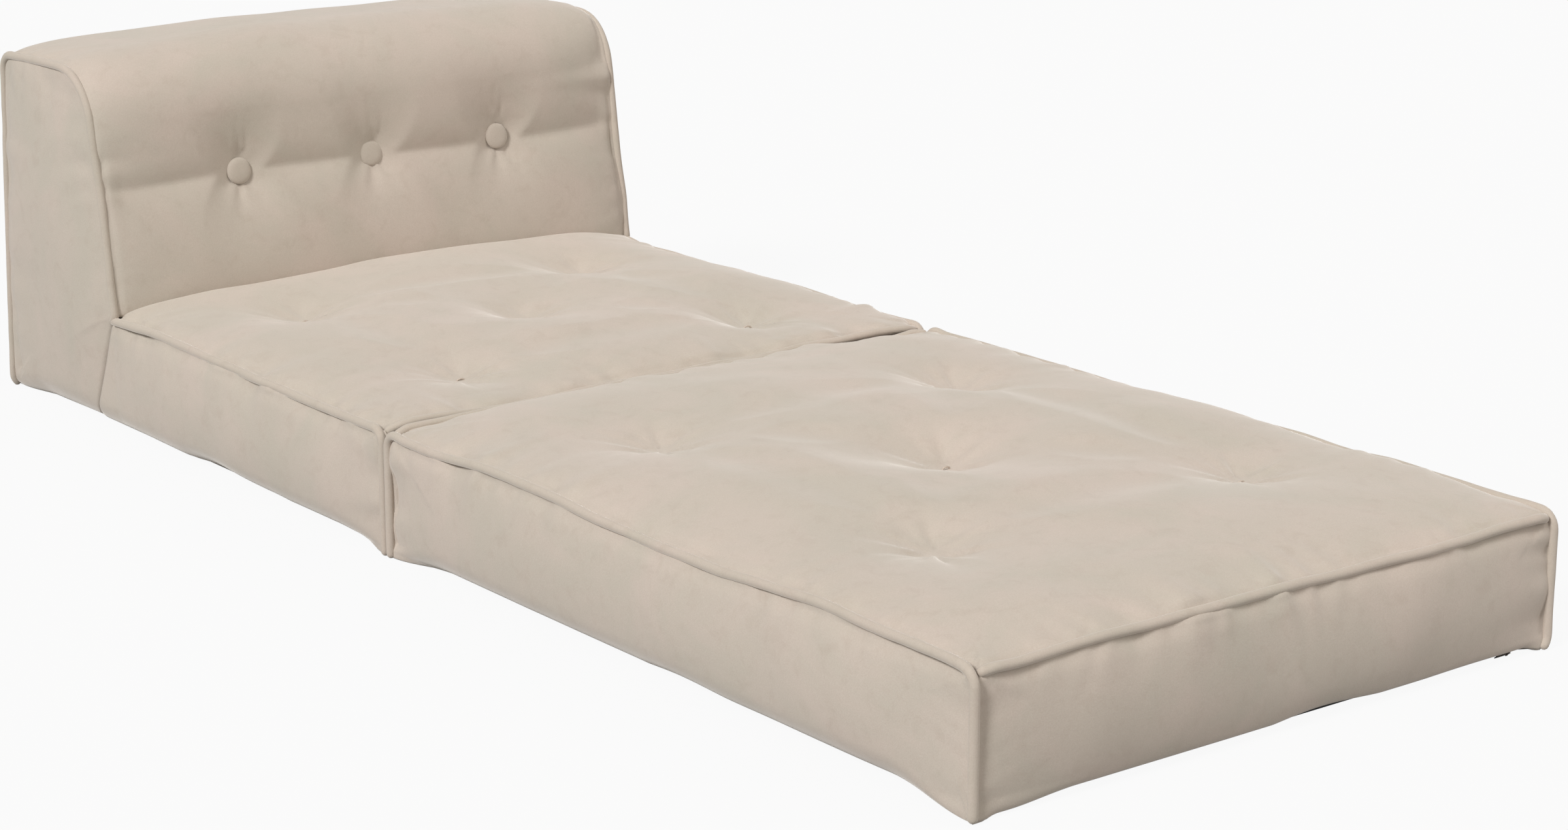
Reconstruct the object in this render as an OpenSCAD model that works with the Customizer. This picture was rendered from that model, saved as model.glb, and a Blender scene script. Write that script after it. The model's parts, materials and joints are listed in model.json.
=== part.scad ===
// Folding single chair bed, shown unfolded: a foot section joined to a seat-and-backrest unit
// by a fabric hinge along the bottom of the seam between them. Soft covers with pipings sit
// over foam cores, sewn down by tufts and buttons, and two zips open the covers at the bottom.
// Axes: +Z up, -Y towards the foot end, +Y towards the backrest, X across the bed.
// Origin: on the floor, at the middle of the footprint.
// Pieces are drawn with the fold seam at y = 0 and are then moved by seam_shift.

/* [Bed] */
// Width between the centres of the side pipings
bed_width = 800; // [700:10:900]
// Length of the foot section, from the fold seam to its front piping
foot_length = 1020; // [900:10:1100]
// Depth of the seat, from the fold seam to the backrest, at piping height
seat_depth = 655; // [600:5:700]
// Height of the seat and foot pipings above the floor
section_height = 150; // [130:5:180]
// Rise of the cushion tops above the pipings
crown = 30; // [15:1:40]
// Gap between the two sections' pipings at the fold seam
seam_gap = 2; // [1:0.5:6]

/* [Backrest] */
// Height of the backrest's side pipings at the top
back_height = 460; // [420:10:520]
// Depth of the backrest at the floor, behind the seat's depth
back_depth = 310; // [280:5:340]
// Lean of the backrest's front face, in degrees
front_rake = 10; // [5:1:14]
// Lean of the backrest's rear face, in degrees
rear_rake = 3.5; // [1:0.5:6]
// Radius of the backrest's front top edge
front_top_r = 50; // [40:1:60]
// Radius of the backrest's rear top edge
rear_top_r = 24; // [20:1:35]
// Rise of the backrest's cushion above its side pipings
back_crown = 22; // [12:1:30]
// Length of the side seam's slope, from the seat's top rear corner to the floor
side_seam_run = 67; // [40:1:90]

/* [Covers] */
// Depth of the padded side, front and rear panels
panel_depth = 42; // [40:1:50]
// Bulge of the outer panels
panel_bulge = 12; // [6:1:18]
// Bulge of the panels that face each other at the fold seam
seam_bulge = 3; // [1:0.5:4]
// Radius of the tucked-under bottom edges
tuck_r = 36; // [34:0.5:36.5]
// Radius of the bottom edges at the corners
corner_tuck_r = 38; // [37:0.5:39]
// Distance over which the edges' radius changes near the corners
tuck_ease = 40; // [30:5:60]
// Thickness of the base fabric
base_t = 2; // [1:0.5:3]
// Thickness of the wadding over the foam
wadding_t = 12; // [8:1:20]
// Clearance between soft pieces
clearance = 0.3; // [0.2:0.05:0.5]

/* [Pipings] */
// Radius of the pipings
piping_r = 5; // [4:0.5:6]
// Radius of the filler cord inside the pipings
filler_r = 3; // [2:0.1:3.5]
// Clearance round the filler cord
filler_clearance = 0.1; // [0.05:0.05:0.2]
// Radius of the side pipings' bends at the section corners
piping_bend_r = 18; // [12:1:22]
// Height of the pipings' lower ends above the floor
piping_foot = 22; // [18:1:30]

/* [Tufts and buttons] */
// Distance of the outer tufts from the middle of the bed
tuft_side = 215; // [180:5:250]
// Distance of the foot section's tufts from its ends
foot_tuft_inset = 275; // [220:5:320]
// Distance of the seat's front tufts from the fold seam
seat_tuft_front = 130; // [110:5:170]
// Distance of the seat's rear tufts from the backrest
seat_tuft_rear = 160; // [130:5:190]
// Height of the tufts' stitches above the pipings
tuft_level = 4; // [0:1:10]
// Radius of the hollow round each tuft
tuft_hollow_r = 105; // [80:5:130]
// Radius of the tufting twine
twine_r = 1.5; // [1:0.1:2]
// Length of the stitch that each twine makes on the cushion
stitch_length = 12; // [8:1:20]
// Radius of the washers that anchor the twines
washer_r = 15; // [10:1:20]
// Thickness of the washers
washer_t = 2; // [1:0.5:3]
// Distance between the buttons
button_pitch = 200; // [160:5:240]
// Height of the buttons above the floor
button_height = 317; // [280:1:350]
// Radius of the covered buttons
button_r = 17.5; // [14:0.5:20]
// Rise of a button's covered dome
button_rise = 8; // [5:0.5:12]
// Thickness of the plate behind a button
button_plate_t = 2; // [1:0.5:3]
// Radius of the hollow round each button
button_hollow_r = 60; // [45:1:80]
// Depth of the soft valley that joins the buttons
valley_depth = 7; // [3:0.5:12]
// Width of that valley
valley_w = 45; // [30:1:70]

/* [Zips] */
// Distance of the zips' stops from the side pipings
zip_inset = 42.5; // [40:2.5:80]
// Angle of the zips below the horizontal, on the tucked bottom edge, in degrees
zip_angle = 48; // [44:1:50]
// Width of one zip tape
tape_w = 11; // [8:0.5:13]
// Thickness of the zip tapes
tape_t = 0.8; // [0.5:0.1:1]
// Gap between the two tapes
tape_gap = 1.8; // [1.6:0.1:2.4]
// Radius of one coil row
coil_r = 0.9; // [0.7:0.1:1.1]
// Length of the slider
slider_l = 13; // [10:0.5:16]
// Width of the slider
slider_w = 9; // [8.5:0.5:11]
// Thickness of the slider's walls
slider_wall = 1.2; // [0.8:0.1:1.6]
// Running clearance inside the slider and round its pin
zip_clearance = 0.3; // [0.2:0.05:0.4]
// Radius of the pull's pin
pin_r = 0.6; // [0.5:0.05:0.7]
// Length of the pull tab, from its pin
pull_l = 18; // [14:1:24]
// Width of the pull tab
pull_w = 6; // [5:0.5:7]
// Thickness of the pull tab
pull_t = 1; // [0.8:0.1:1.2]

/* [Hinge] */
// Thickness of the hinge strip
hinge_t = 1.6; // [1:0.1:2]
// Distance of the hinge strip's ends from the side pipings
hinge_inset = 45; // [40:5:80]

/* [Hidden] */

$fn = 48;
overrun = 1;
half_width = bed_width / 2;
// The panels stop at the side of the piping that they are sewn to.
edge_gap = piping_r + clearance;
// The sections' own seam planes, through the centres of their pipings
seam_plane = seam_gap / 2 + piping_r;
panel_top = section_height - edge_gap;
inner_half = half_width - panel_depth;
core_half = inner_half - clearance;
core_top = panel_top - wadding_t;
front_plane = -foot_length;

fabric_color = [0.66, 0.59, 0.51];
piping_color = [0.70, 0.64, 0.56];
dark_color = [0.10, 0.10, 0.11];
foam_color = [0.93, 0.88, 0.70];
wadding_color = [0.93, 0.93, 0.91];
twine_color = [0.55, 0.50, 0.44];
metal_color = [0.30, 0.28, 0.27];
washer_color = [0.25, 0.25, 0.27];

// Shapes shared by the panels

// Share of the full bulge at share s of an edge: none at its ends
function bulge_share(s) = 1 - pow(abs(2 * s - 1), 4);
// Share of the full crown at share s: it rises steeply from both ends
function puff_share(s) = pow(1 - pow(abs(2 * s - 1), 4), 0.6);
// How much closer together a grid's lines are near its ends
top_crowding_share = 0.5;
corner_crowding_share = 0.8;
face_crowding_share = 0.35;
// Share of the way along an edge of step i of n
function step_share(i, n, crowding_share = top_crowding_share) =
    i / n - crowding_share * sin(360 * i / n) / (2 * PI);
// How far a tucked-under edge of radius r has drawn in at height z
function tuck(z, r) = z < r ? r - sqrt(r * r - (r - z) * (r - z)) : 0;
// The bottom edge's radius at distance d from a corner
function edge_tuck_r(d) =
    tuck_r + (corner_tuck_r - tuck_r) * exp(-d / tuck_ease);
// Share of a panel's bulge at height z, none below the tucked edge and at the top
function swell_share(z, top) =
    z <= tuck_r || z >= top ? 0 : pow(sin(180 * (z - tuck_r) / (top - tuck_r)), 1.5);
function drawn_in(z, d) = tuck(z, edge_tuck_r(d));

// Heights of the rows of a panel that stands on the floor
tuck_row_shares = [0, 0.1, 0.35, 1];
function row_heights(top, rows) = concat(
    [for (share = tuck_row_shares) share * tuck_r],
    [for (j = [1:rows]) tuck_r + (top - tuck_r) * j / rows]);

// The outline of a grid of points, once round
function rim_of(last, last_row) = let (width = last + 1) concat(
    [for (i = [0:last]) i],
    [for (j = [1:last_row]) j * width + last],
    [for (i = [last - 1:-1:0]) last_row * width + i],
    [for (j = [last_row - 1:-1:1]) j * width]);
// Two triangles for each cell of a grid whose points start at n
function grid_faces(last, last_row, n) = let (width = last + 1)
    [for (j = [0:last_row - 1], i = [0:last - 1]) let (k = n + j * width + i) each [
        [k, k + width + 1, k + 1],
        [k, k + width, k + width + 1]]];
// The walls between an outline and its points at the back
function rim_faces(rim, n, rim_back) = let (m = len(rim))
    [for (k = [0:m - 1]) let (next = (k + 1) % m) each [
        [rim[k], rim[next], rim_back[next]],
        [rim[k], rim_back[next], rim_back[k]]]];

// A closed form between a grid of outer points and its outline, put back by a function.
// The flat back is a fan round the middle of its last row.
module pad_form(rows, back) {
    last_row = len(rows) - 1;
    last = len(rows[0]) - 1;
    outer = [for (row = rows) each row];
    rim = rim_of(last, last_row);
    n = len(outer);
    m = len(rim);
    // The outline's point on the left or right at row j
    function left(j) = n + (j == 0 ? 0 : m - j);
    function right(j) = n + last + j;
    half = floor(last / 2);
    middle = right(last_row) + half;
    polyhedron(
        concat(outer, [for (i = rim) back(outer[i])]),
        concat(
            grid_faces(last, last_row, 0),
            rim_faces(rim, n, [for (k = [0:m - 1]) n + k]),
            [for (i = [0:last - 1]) [n + i, n + i + 1, middle]],
            [for (j = [0:last_row - 2]) each [
                [right(j), right(j + 1), middle], [left(j + 1), left(j), middle]]],
            [for (i = [0:half - 1])
                [right(last_row) + i, right(last_row) + i + 1, right(last_row - 1)]],
            [for (i = [half:last - 1])
                [right(last_row) + i, right(last_row) + i + 1, left(last_row - 1)]]));
}

// A closed form between two grids of points of the same size
module skin_form(outer_rows, inner_rows) {
    last_row = len(outer_rows) - 1;
    last = len(outer_rows[0]) - 1;
    outer = [for (row = outer_rows) each row];
    rim = rim_of(last, last_row);
    n = len(outer);
    polyhedron(
        concat(outer, [for (row = inner_rows) each row]),
        concat(
            grid_faces(last, last_row, 0),
            [for (face = grid_faces(last, last_row, n)) [face[0], face[2], face[1]]],
            rim_faces(rim, n, [for (i = rim) n + i])));
}

// Outlines of the pieces, seen from the side, as y at height z

front_line = function (z) seat_depth + (z - section_height) * tan(front_rake);
rear_line = function (z) seat_depth + back_depth - z * tan(rear_rake);
// Centres of the backrest's two top bends
front_bend = [front_line(back_height - front_top_r) + front_top_r / cos(front_rake),
              back_height - front_top_r];
rear_bend = [rear_line(back_height - rear_top_r) - rear_top_r / cos(rear_rake),
             back_height - rear_top_r];
bend_parts = 5;
rear_bend_parts = 3;
// Radii of the side panels' top corners, inside the flats of the panel that bends over them
front_skin_r = (front_top_r - edge_gap) * cos((90 - front_rake) / (2 * bend_parts)) - clearance;
rear_skin_r = (rear_top_r - edge_gap) * cos((90 - rear_rake) / (2 * rear_bend_parts)) - clearance;
back_panel_top = front_bend[1] + front_skin_r;
// The plain side seam between the seat and the backrest
seam_top_y = seat_depth + edge_gap / cos(front_rake);
side_seam = function (z) seam_top_y + side_seam_run * (1 - z / section_height);

// A section's end at height z, with its bottom drawn in and its top bent with the piping
panel_bend_r = piping_bend_r - edge_gap;
function end_draw(z) =
    edge_gap + tuck(z, corner_tuck_r)
    + (z > panel_top - panel_bend_r
        ? tuck(panel_top - z, panel_bend_r) : 0);

backrest_front = function (z)
    z <= section_height ? side_seam(z) + clearance
    : z <= front_bend[1] + front_skin_r * sin(front_rake)
        ? front_line(z) + edge_gap / cos(front_rake) + clearance
    : front_bend[0] - sqrt(max(0, pow(front_skin_r, 2) - pow(z - front_bend[1], 2)));
backrest_rear = function (z)
    z <= rear_bend[1] + rear_skin_r * sin(rear_rake)
        ? rear_line(z) - edge_gap / cos(rear_rake) - tuck(z, corner_tuck_r)
    : rear_bend[0] + sqrt(max(0, pow(rear_skin_r, 2) - pow(z - rear_bend[1], 2)));

// Side panels, drawn for the right side

// Outer points of a side panel between two outlines
function side_rows(heights, low, high, top, columns) = [
    for (z = heights) let (a = low(z), b = high(z)) [
        for (i = [0:columns]) let (s = step_share(i, columns, corner_crowding_share))
            [half_width - drawn_in(z, (b - a) * min(s, 1 - s))
                + panel_bulge * bulge_share(s) * swell_share(z, top),
             a + (b - a) * s, z]]];

// Back of a side panel: its outline, moved to the inner plane and mitred at the corners
function side_back(low, high, low_in, high_in) =
    function (p) [inner_half,
        low_in(p[2]) + (p[1] - low(p[2])) * (high_in(p[2]) - low_in(p[2]))
            / (high(p[2]) - low(p[2])),
        p[2]];

module side_panel(heights, low, high, low_in, high_in, top, columns) {
    pad_form(side_rows(heights, low, high, top, columns),
        side_back(low, high, low_in, high_in));
}

module foot_side_panel() {
    low = function (z) front_plane + end_draw(z);
    high = function (z) -seam_plane - end_draw(z);
    low_in = function (z) front_plane + panel_depth + clearance;
    high_in = function (z) -seam_plane - panel_depth - clearance;
    color(fabric_color)
        side_panel(side_heights, low, high, low_in, high_in, panel_top, 12);
}

module seat_side_panel() {
    low = function (z) seam_plane + end_draw(z);
    low_in = function (z) seam_plane + panel_depth + clearance;
    color(fabric_color)
        side_panel(side_heights, low, side_seam, low_in, side_seam, panel_top, 10);
}

module backrest_side_panel() {
    rear_in = function (z)
        min(rear_line(z) - (panel_depth + clearance) / cos(rear_rake), backrest_rear(z));
    color(fabric_color)
        side_panel(backrest_heights, backrest_front, backrest_rear, backrest_front, rear_in,
            back_panel_top, 8);
}

bend_row_shares = [0.4, 0.75, 0.93, 1];
side_heights = concat(
    row_heights(panel_top - panel_bend_r, 4),
    [for (share = bend_row_shares) panel_top - panel_bend_r * (1 - share)]);
backrest_heights = concat(
    row_heights(section_height, 3),
    [for (j = [1:4]) section_height + (front_bend[1] - section_height) * j / 4],
    [for (share = bend_row_shares) front_bend[1] + front_skin_r * share]);

// Cross panels: plane(z) is the sewn line, and out is 1 or -1 towards the outside

function cross_rows(heights, plane, out, bulge, top, columns) = [
    for (z = heights) let (reach = half_width - edge_gap - tuck(z, corner_tuck_r)) [
        for (i = [0:columns]) let (s = step_share(i, columns, corner_crowding_share), d = 2 * reach * min(s, 1 - s))
            [-out * (2 * reach * s - reach),
             plane(z) + out * (bulge * bulge_share(s) * swell_share(z, top) - drawn_in(z, d)),
             z]]];

function cross_back(plane, out) =
    function (p) [p[0] * core_half / (half_width - edge_gap - tuck(p[2], corner_tuck_r)),
                  plane(p[2]) - out * panel_depth, p[2]];

module cross_panel(rows, plane, out) {
    color(fabric_color) pad_form(rows, cross_back(plane, out));
}

front_at = function (z) front_plane;
foot_seam_at = function (z) -seam_plane;
seat_seam_at = function (z) seam_plane;
rear_panel_top = rear_bend[1] - clearance;
foot_front_rows = cross_rows(row_heights(panel_top, 5), front_at, -1, panel_bulge, panel_top, 12);
foot_rear_rows = cross_rows(row_heights(panel_top, 3), foot_seam_at, 1, seam_bulge, panel_top, 8);
seat_front_rows = cross_rows(row_heights(panel_top, 3), seat_seam_at, -1, seam_bulge, panel_top, 8);
rear_rows = cross_rows(row_heights(rear_panel_top, 8), rear_line, 1, panel_bulge,
    rear_panel_top, 12);

// Cushion tops

foot_middle = -foot_length / 2;
foot_tufts = [
    [-tuft_side, -foot_tuft_inset], [tuft_side, -foot_tuft_inset], [0, foot_middle],
    [-tuft_side, foot_tuft_inset - foot_length], [tuft_side, foot_tuft_inset - foot_length]];
seat_tuft_back = seat_depth - seat_tuft_rear;
seat_tufts = [
    [-tuft_side, seat_tuft_front], [tuft_side, seat_tuft_front],
    [0, (seat_tuft_front + seat_tuft_back) / 2],
    [-tuft_side, seat_tuft_back], [tuft_side, seat_tuft_back]];
tuft_z = section_height + tuft_level;

// Share of a hollow's depth at distance d from its middle: a wide dish with a narrow pit
function hollow_share(d, r) = 0.7 * exp(-pow(d / r, 2)) + 0.3 * exp(-pow(3 * d / r, 2));

// Height of a crowned top at share u across and v along it
function crown_z(u, v) = section_height + clearance + crown * puff_share(u) * puff_share(v);

function tufted_z(x, y, y0, y1, tufts) =
    let (half = half_width - edge_gap,
         z = crown_z((x + half) / (2 * half), (y - y0) / (y1 - y0)))
    z - max([for (t = tufts)
        (crown_z((t[0] + half) / (2 * half), (t[1] - y0) / (y1 - y0)) - tuft_z)
            * hollow_share(norm([x - t[0], y - t[1]]), tuft_hollow_r)]);

function top_rows(y0, y1, tufts, columns, rows) =
    let (half = half_width - edge_gap)
    [for (j = [0:rows]) let (y = y0 + (y1 - y0) * step_share(j, rows)) [
        for (i = [0:columns]) let (x = -half + 2 * half * step_share(i, columns))
            [x, y, tufted_z(x, y, y0, y1, tufts)]]];

module top_panel(y0, y1, tufts, columns, rows) {
    color(fabric_color) difference() {
        pad_form(top_rows(y0, y1, tufts, columns, rows), function (p) [p[0], p[1], panel_top]);
        for (t = tufts) translate([t[0], t[1], 0]) {
            cylinder(r = twine_r + clearance, h = 2 * section_height);
            translate([0, 0, tuft_z - clearance])
                cylinder(r = stitch_length / 2 + clearance, h = section_height);
        }
    }
}

module foot_top_panel() {
    top_panel(front_plane + edge_gap, -seam_plane - edge_gap, foot_tufts, 22, 26);
}

module seat_top_panel() {
    top_panel(seam_plane + edge_gap, seat_depth - clearance, seat_tufts, 22, 18);
}

// Backrest front panel: it runs up the front, over the top and down to the rear bend

panel_foot_z = section_height + 2 * piping_r;
front_tangent_z = front_bend[1] + front_top_r * sin(front_rake);
front_face_l = (front_tangent_z - panel_foot_z) / cos(front_rake);

// Stations along the panel: y, z, the outward direction, and the share of the crown
function arc_station(centre, r, a) = [centre[0] + r * cos(a), centre[1] + r * sin(a), a];
face_stations = [for (j = [0:9]) let (z = panel_foot_z
        + (front_tangent_z - panel_foot_z) * step_share(j, 9, face_crowding_share))
    [front_line(z), z, 180 - front_rake]];
front_bend_stations = [for (j = [1:bend_parts])
    arc_station(front_bend, front_top_r,
        180 - front_rake - (90 - front_rake) * j / bend_parts)];
top_stations = [for (j = [1:5])
    [front_bend[0] + (rear_bend[0] - front_bend[0]) * j / 5, back_height, 90]];
rear_bend_stations = [for (j = [1:rear_bend_parts])
    arc_station(rear_bend, rear_top_r, 90 - (90 - rear_rake) * j / rear_bend_parts)];
stations = concat(face_stations, front_bend_stations, top_stations, rear_bend_stations);
last_station = len(stations) - 1;
// Distance along the panel's line to each station
function run_to(i) = i == 0 ? 0
    : run_to(i - 1) + norm([stations[i][0] - stations[i - 1][0], stations[i][1] - stations[i - 1][1]]);
station_runs = [for (i = [0:last_station]) run_to(i)];
panel_run = station_runs[last_station];
button_run = (button_height - panel_foot_z) / cos(front_rake);
button_xs = [-button_pitch, 0, button_pitch];
// Level of the panel under the buttons, above its sewn line
button_seat = 2;

function back_puff(u, run) = clearance + back_crown * puff_share(u) * puff_share(run / panel_run);
function front_rise(x, run) =
    let (half = half_width - edge_gap,
         u = (x + half) / (2 * half),
         puff = back_puff(u, run),
         valley = valley_depth * exp(-pow((run - button_run) / valley_w, 2)) * puff_share(u),
         seat_drop = back_puff(0.5, button_run) - valley_depth - button_seat)
    puff - valley - seat_drop * max([for (bx = button_xs)
        hollow_share(norm([x - bx, run - button_run]), button_hollow_r)]);

function station_point(i, x, rise) = let (s = stations[i])
    [x, s[0] + rise * cos(s[2]), s[1] + rise * sin(s[2])];
front_columns = 20;
front_xs = [for (i = [0:front_columns])
    (half_width - edge_gap) * (2 * step_share(i, front_columns) - 1)];

module backrest_front_panel() {
    outer = [for (i = [0:last_station]) [
        for (x = front_xs) station_point(i, x, front_rise(x, station_runs[i]))]];
    inner = [for (i = [0:last_station]) [for (x = front_xs) station_point(i, x, -edge_gap)]];
    color(fabric_color) difference() {
        skin_form(outer, inner);
        button_bores();
        at_buttons() translate([0, 0, button_seat])
            cylinder(r = button_r + clearance, h = back_crown);
    }
}

// The same line moved in by d, without the rear bend, for the wadding and the core
function inset_line(d) = [
    for (i = [0:len(stations) - len(rear_bend_stations) - 2]) let (s = stations[i])
        [s[0] - d * cos(s[2]), s[1] - d * sin(s[2])]];
function rear_core_y(z) = rear_line(z) - panel_depth - clearance;
wadding_in = edge_gap + wadding_t;
// The core's toe runs under the front panel to the side seam's line.
toe_z = panel_foot_z - wadding_in * sin(front_rake) - clearance;

module side_prism(points) {
    translate([-core_half, 0, 0]) rotate([90, 0, 90])
        linear_extrude(2 * core_half) polygon(points);
}

module backrest_wadding() {
    outer = inset_line(edge_gap);
    inner = inset_line(wadding_in);
    count = len(outer);
    color(wadding_color) difference() {
        side_prism(concat(
            outer,
            [[rear_core_y(back_height), back_height - edge_gap],
             [rear_core_y(back_height), back_height - wadding_in]],
            [for (i = [count - 1:-1:0]) inner[i]]));
        button_bores();
    }
}

module backrest_foam_core() {
    color(foam_color) difference() {
        side_prism(concat(
            [[side_seam(base_t) + clearance, base_t],
             [side_seam(toe_z) + clearance, toe_z],
             [front_line(toe_z) + wadding_in / cos(front_rake), toe_z]],
            inset_line(wadding_in),
            [[rear_core_y(back_height), back_height - wadding_in],
             [rear_core_y(base_t), base_t]]));
        button_bores();
        at_buttons() washer_recess();
    }
}

module backrest_rear_panel() cross_panel(rear_rows, rear_line, 1);

// Buttons, along the line square to the backrest's face

button_path_l = (rear_core_y(button_height) - front_line(button_height))
    / (cos(front_rake) - sin(front_rake) * tan(rear_rake));

module at_buttons() {
    for (bx = button_xs)
        translate([bx, front_line(button_height), button_height])
            rotate([90 - front_rake, 0, 0]) children();
}

// Here +Z leaves the backrest's face.
module button_bores() {
    at_buttons() translate([0, 0, -2 * back_depth])
        cylinder(r = twine_r + clearance, h = 2 * back_depth + back_crown);
}

module washer_recess() {
    translate([0, 0, -button_path_l - back_depth])
        cylinder(r = washer_r + clearance, h = back_depth + recess_depth);
}

recess_depth = washer_t + washer_r * tan(front_rake + rear_rake);
washer_place = -button_path_l + recess_depth - washer_t;

module button_caps() {
    dome_r = (button_r * button_r + button_rise * button_rise) / (2 * button_rise);
    color(piping_color) at_buttons() translate([0, 0, button_seat + clearance + button_plate_t])
        intersection() {
            translate([0, 0, button_rise - dome_r]) sphere(dome_r);
            cylinder(r = button_r, h = button_rise + overrun);
        }
}

module button_plates() {
    color(washer_color) at_buttons() translate([0, 0, button_seat + clearance])
        cylinder(r = button_r - 2 * button_plate_t, h = button_plate_t);
}

module button_twines() {
    color(twine_color) at_buttons() translate([0, 0, washer_place + washer_t])
        cylinder(r = twine_r, h = button_seat + clearance - washer_place - washer_t);
}

module button_washers() {
    color(washer_color) at_buttons() translate([0, 0, washer_place])
        cylinder(r = washer_r, h = washer_t);
}

// Foam cores, waddings and base fabrics

foot_core_y = [front_plane + panel_depth + clearance, -seam_plane - panel_depth - clearance];
seat_core_front = seam_plane + panel_depth + clearance;

module tuft_bores(tufts) {
    for (t = tufts) translate([t[0], t[1], 0]) {
        cylinder(r = twine_r + clearance, h = section_height);
        cylinder(r = washer_r + clearance, h = base_t + washer_t + clearance);
    }
}

module foot_foam_core() {
    color(foam_color) difference() {
        translate([-core_half, foot_core_y[0], base_t])
            cube([2 * core_half, foot_core_y[1] - foot_core_y[0], core_top - base_t]);
        tuft_bores(foot_tufts);
    }
}

module foot_wadding() {
    color(wadding_color) difference() {
        translate([-core_half, foot_core_y[0], core_top])
            cube([2 * core_half, foot_core_y[1] - foot_core_y[0], wadding_t]);
        tuft_bores(foot_tufts);
    }
}

module seat_slab(z0, z1) {
    side_prism([
        [seat_core_front, z0], [side_seam(z0), z0], [side_seam(z1), z1], [seat_core_front, z1]]);
}

module seat_foam_core() {
    color(foam_color) difference() {
        seat_slab(base_t, core_top);
        tuft_bores(seat_tufts);
    }
}

module seat_wadding() {
    color(wadding_color) difference() {
        side_prism([
            [seat_core_front, core_top], [side_seam(core_top), core_top],
            [side_seam(panel_top), panel_top], [seat_core_front, panel_top]]);
        tuft_bores(seat_tufts);
    }
}

module base_panel(y0, y1) {
    color(dark_color) translate([-core_half, y0, 0]) cube([2 * core_half, y1 - y0, base_t]);
}

module foot_base_panel() base_panel(foot_core_y[0], foot_core_y[1]);
module seat_base_panel() base_panel(seat_core_front, rear_core_y(0));

// The strip reaches under both tucked edges, to where they close on its thickness.
tuck_row_z = tuck_row_shares[1] * tuck_r;
hinge_reach = seam_plane + tuck_r
    - (hinge_t + clearance) * (tuck_r - tuck(tuck_row_z, tuck_r)) / tuck_row_z;

module hinge_strip() {
    color(dark_color) translate([hinge_inset - half_width, -hinge_reach, 0])
        cube([2 * (half_width - hinge_inset), 2 * hinge_reach, hinge_t]);
}

// Pipings: round beads along bent lines in the planes of the sides

bead_sides = 10;
bend_steps = 5;
cap_angles = [30, 60, 90];

function heading(a, b) = atan2(b[1] - a[1], b[0] - a[0]);
// Turn between two headings, from -180 to 180
function turn(h0, h1) = atan2(sin(h1 - h0), cos(h1 - h0));

// Stations are y, z, heading and the share of the bead's radius.
function bend_stations(line, bends, i) =
    let (h0 = heading(line[i - 1], line[i]),
         bend = turn(h0, heading(line[i], line[i + 1])),
         centre = line[i] - bends[i] * tan(abs(bend) / 2) * [cos(h0), sin(h0)]
            + sign(bend) * bends[i] * [-sin(h0), cos(h0)])
    [for (k = [0:bend_steps]) let (h = h0 + bend * k / bend_steps)
        concat(centre - sign(bend) * bends[i] * [-sin(h), cos(h)], h, 1)];
// A round end at a point: out is -1 at the start of the line and 1 at its end
function cap_stations(point, h, out, r) =
    [for (a = out < 0 ? cap_angles : [for (k = [len(cap_angles) - 1:-1:0]) cap_angles[k]])
        concat(point + out * r * cos(a) * [cos(h), sin(h)], h, sin(a))];
function bead_stations(line, bends, r) = let (last = len(line) - 1) concat(
    cap_stations(line[0], heading(line[0], line[1]), -1, r),
    [for (i = [1:last - 1]) each bend_stations(line, bends, i)],
    cap_stations(line[last], heading(line[last - 1], line[last]), 1, r));

function bead_points(path, r) =
    [for (s = path, j = [0:bead_sides - 1]) let (a = 360 * j / bead_sides, d = r * s[3])
        [d * cos(a), s[0] - d * sin(a) * sin(s[2]), s[1] + d * sin(a) * cos(s[2])]];

module bead(line, bends, r) {
    path = bead_stations(line, bends, r);
    last = len(path) - 1;
    n = bead_sides;
    polyhedron(bead_points(path, r), concat(
        [for (j = [1:n - 2]) [0, j + 1, j]],
        [for (i = [0:last - 1], j = [0:n - 1]) let (k = i * n, next = (j + 1) % n) each [
            [k + j, k + next, k + n + next],
            [k + j, k + n + next, k + n + j]]],
        [for (j = [1:n - 2]) [last * n, last * n + j, last * n + j + 1]]));
}

foot_piping_line = [
    [-seam_plane, piping_foot], [-seam_plane, section_height],
    [front_plane, section_height], [front_plane, piping_foot]];
foot_piping_bends = [0, piping_bend_r, piping_bend_r, 0];
long_piping_line = [
    [seam_plane, piping_foot], [seam_plane, section_height], [seat_depth, section_height],
    [front_line(back_height), back_height], [rear_line(back_height), back_height],
    [rear_line(piping_foot), piping_foot]];
long_piping_bends = [0, piping_bend_r, 2 * piping_r, front_top_r, rear_top_r, 0];
cross_piping_reach = half_width - 2 * piping_r - clearance;

// side is 1 for the right and -1 for the left
module side_bead(side, line, bends, r) {
    translate([side * half_width, 0, 0]) bead(line, bends, r);
}

module side_piping(side, line, bends) {
    color(piping_color) difference() {
        side_bead(side, line, bends, piping_r);
        side_bead(side, line, bends, filler_r + filler_clearance);
    }
}

module cross_bead(y, r) {
    translate([0, y, section_height]) {
        translate([-cross_piping_reach, 0, 0]) rotate([0, 90, 0])
            cylinder(r = r, h = 2 * cross_piping_reach);
        for (side = [-1, 1]) translate([side * cross_piping_reach, 0, 0]) sphere(r);
    }
}

module cross_piping(y) {
    color(piping_color) difference() {
        cross_bead(y, piping_r);
        cross_bead(y, filler_r + filler_clearance);
    }
}

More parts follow.
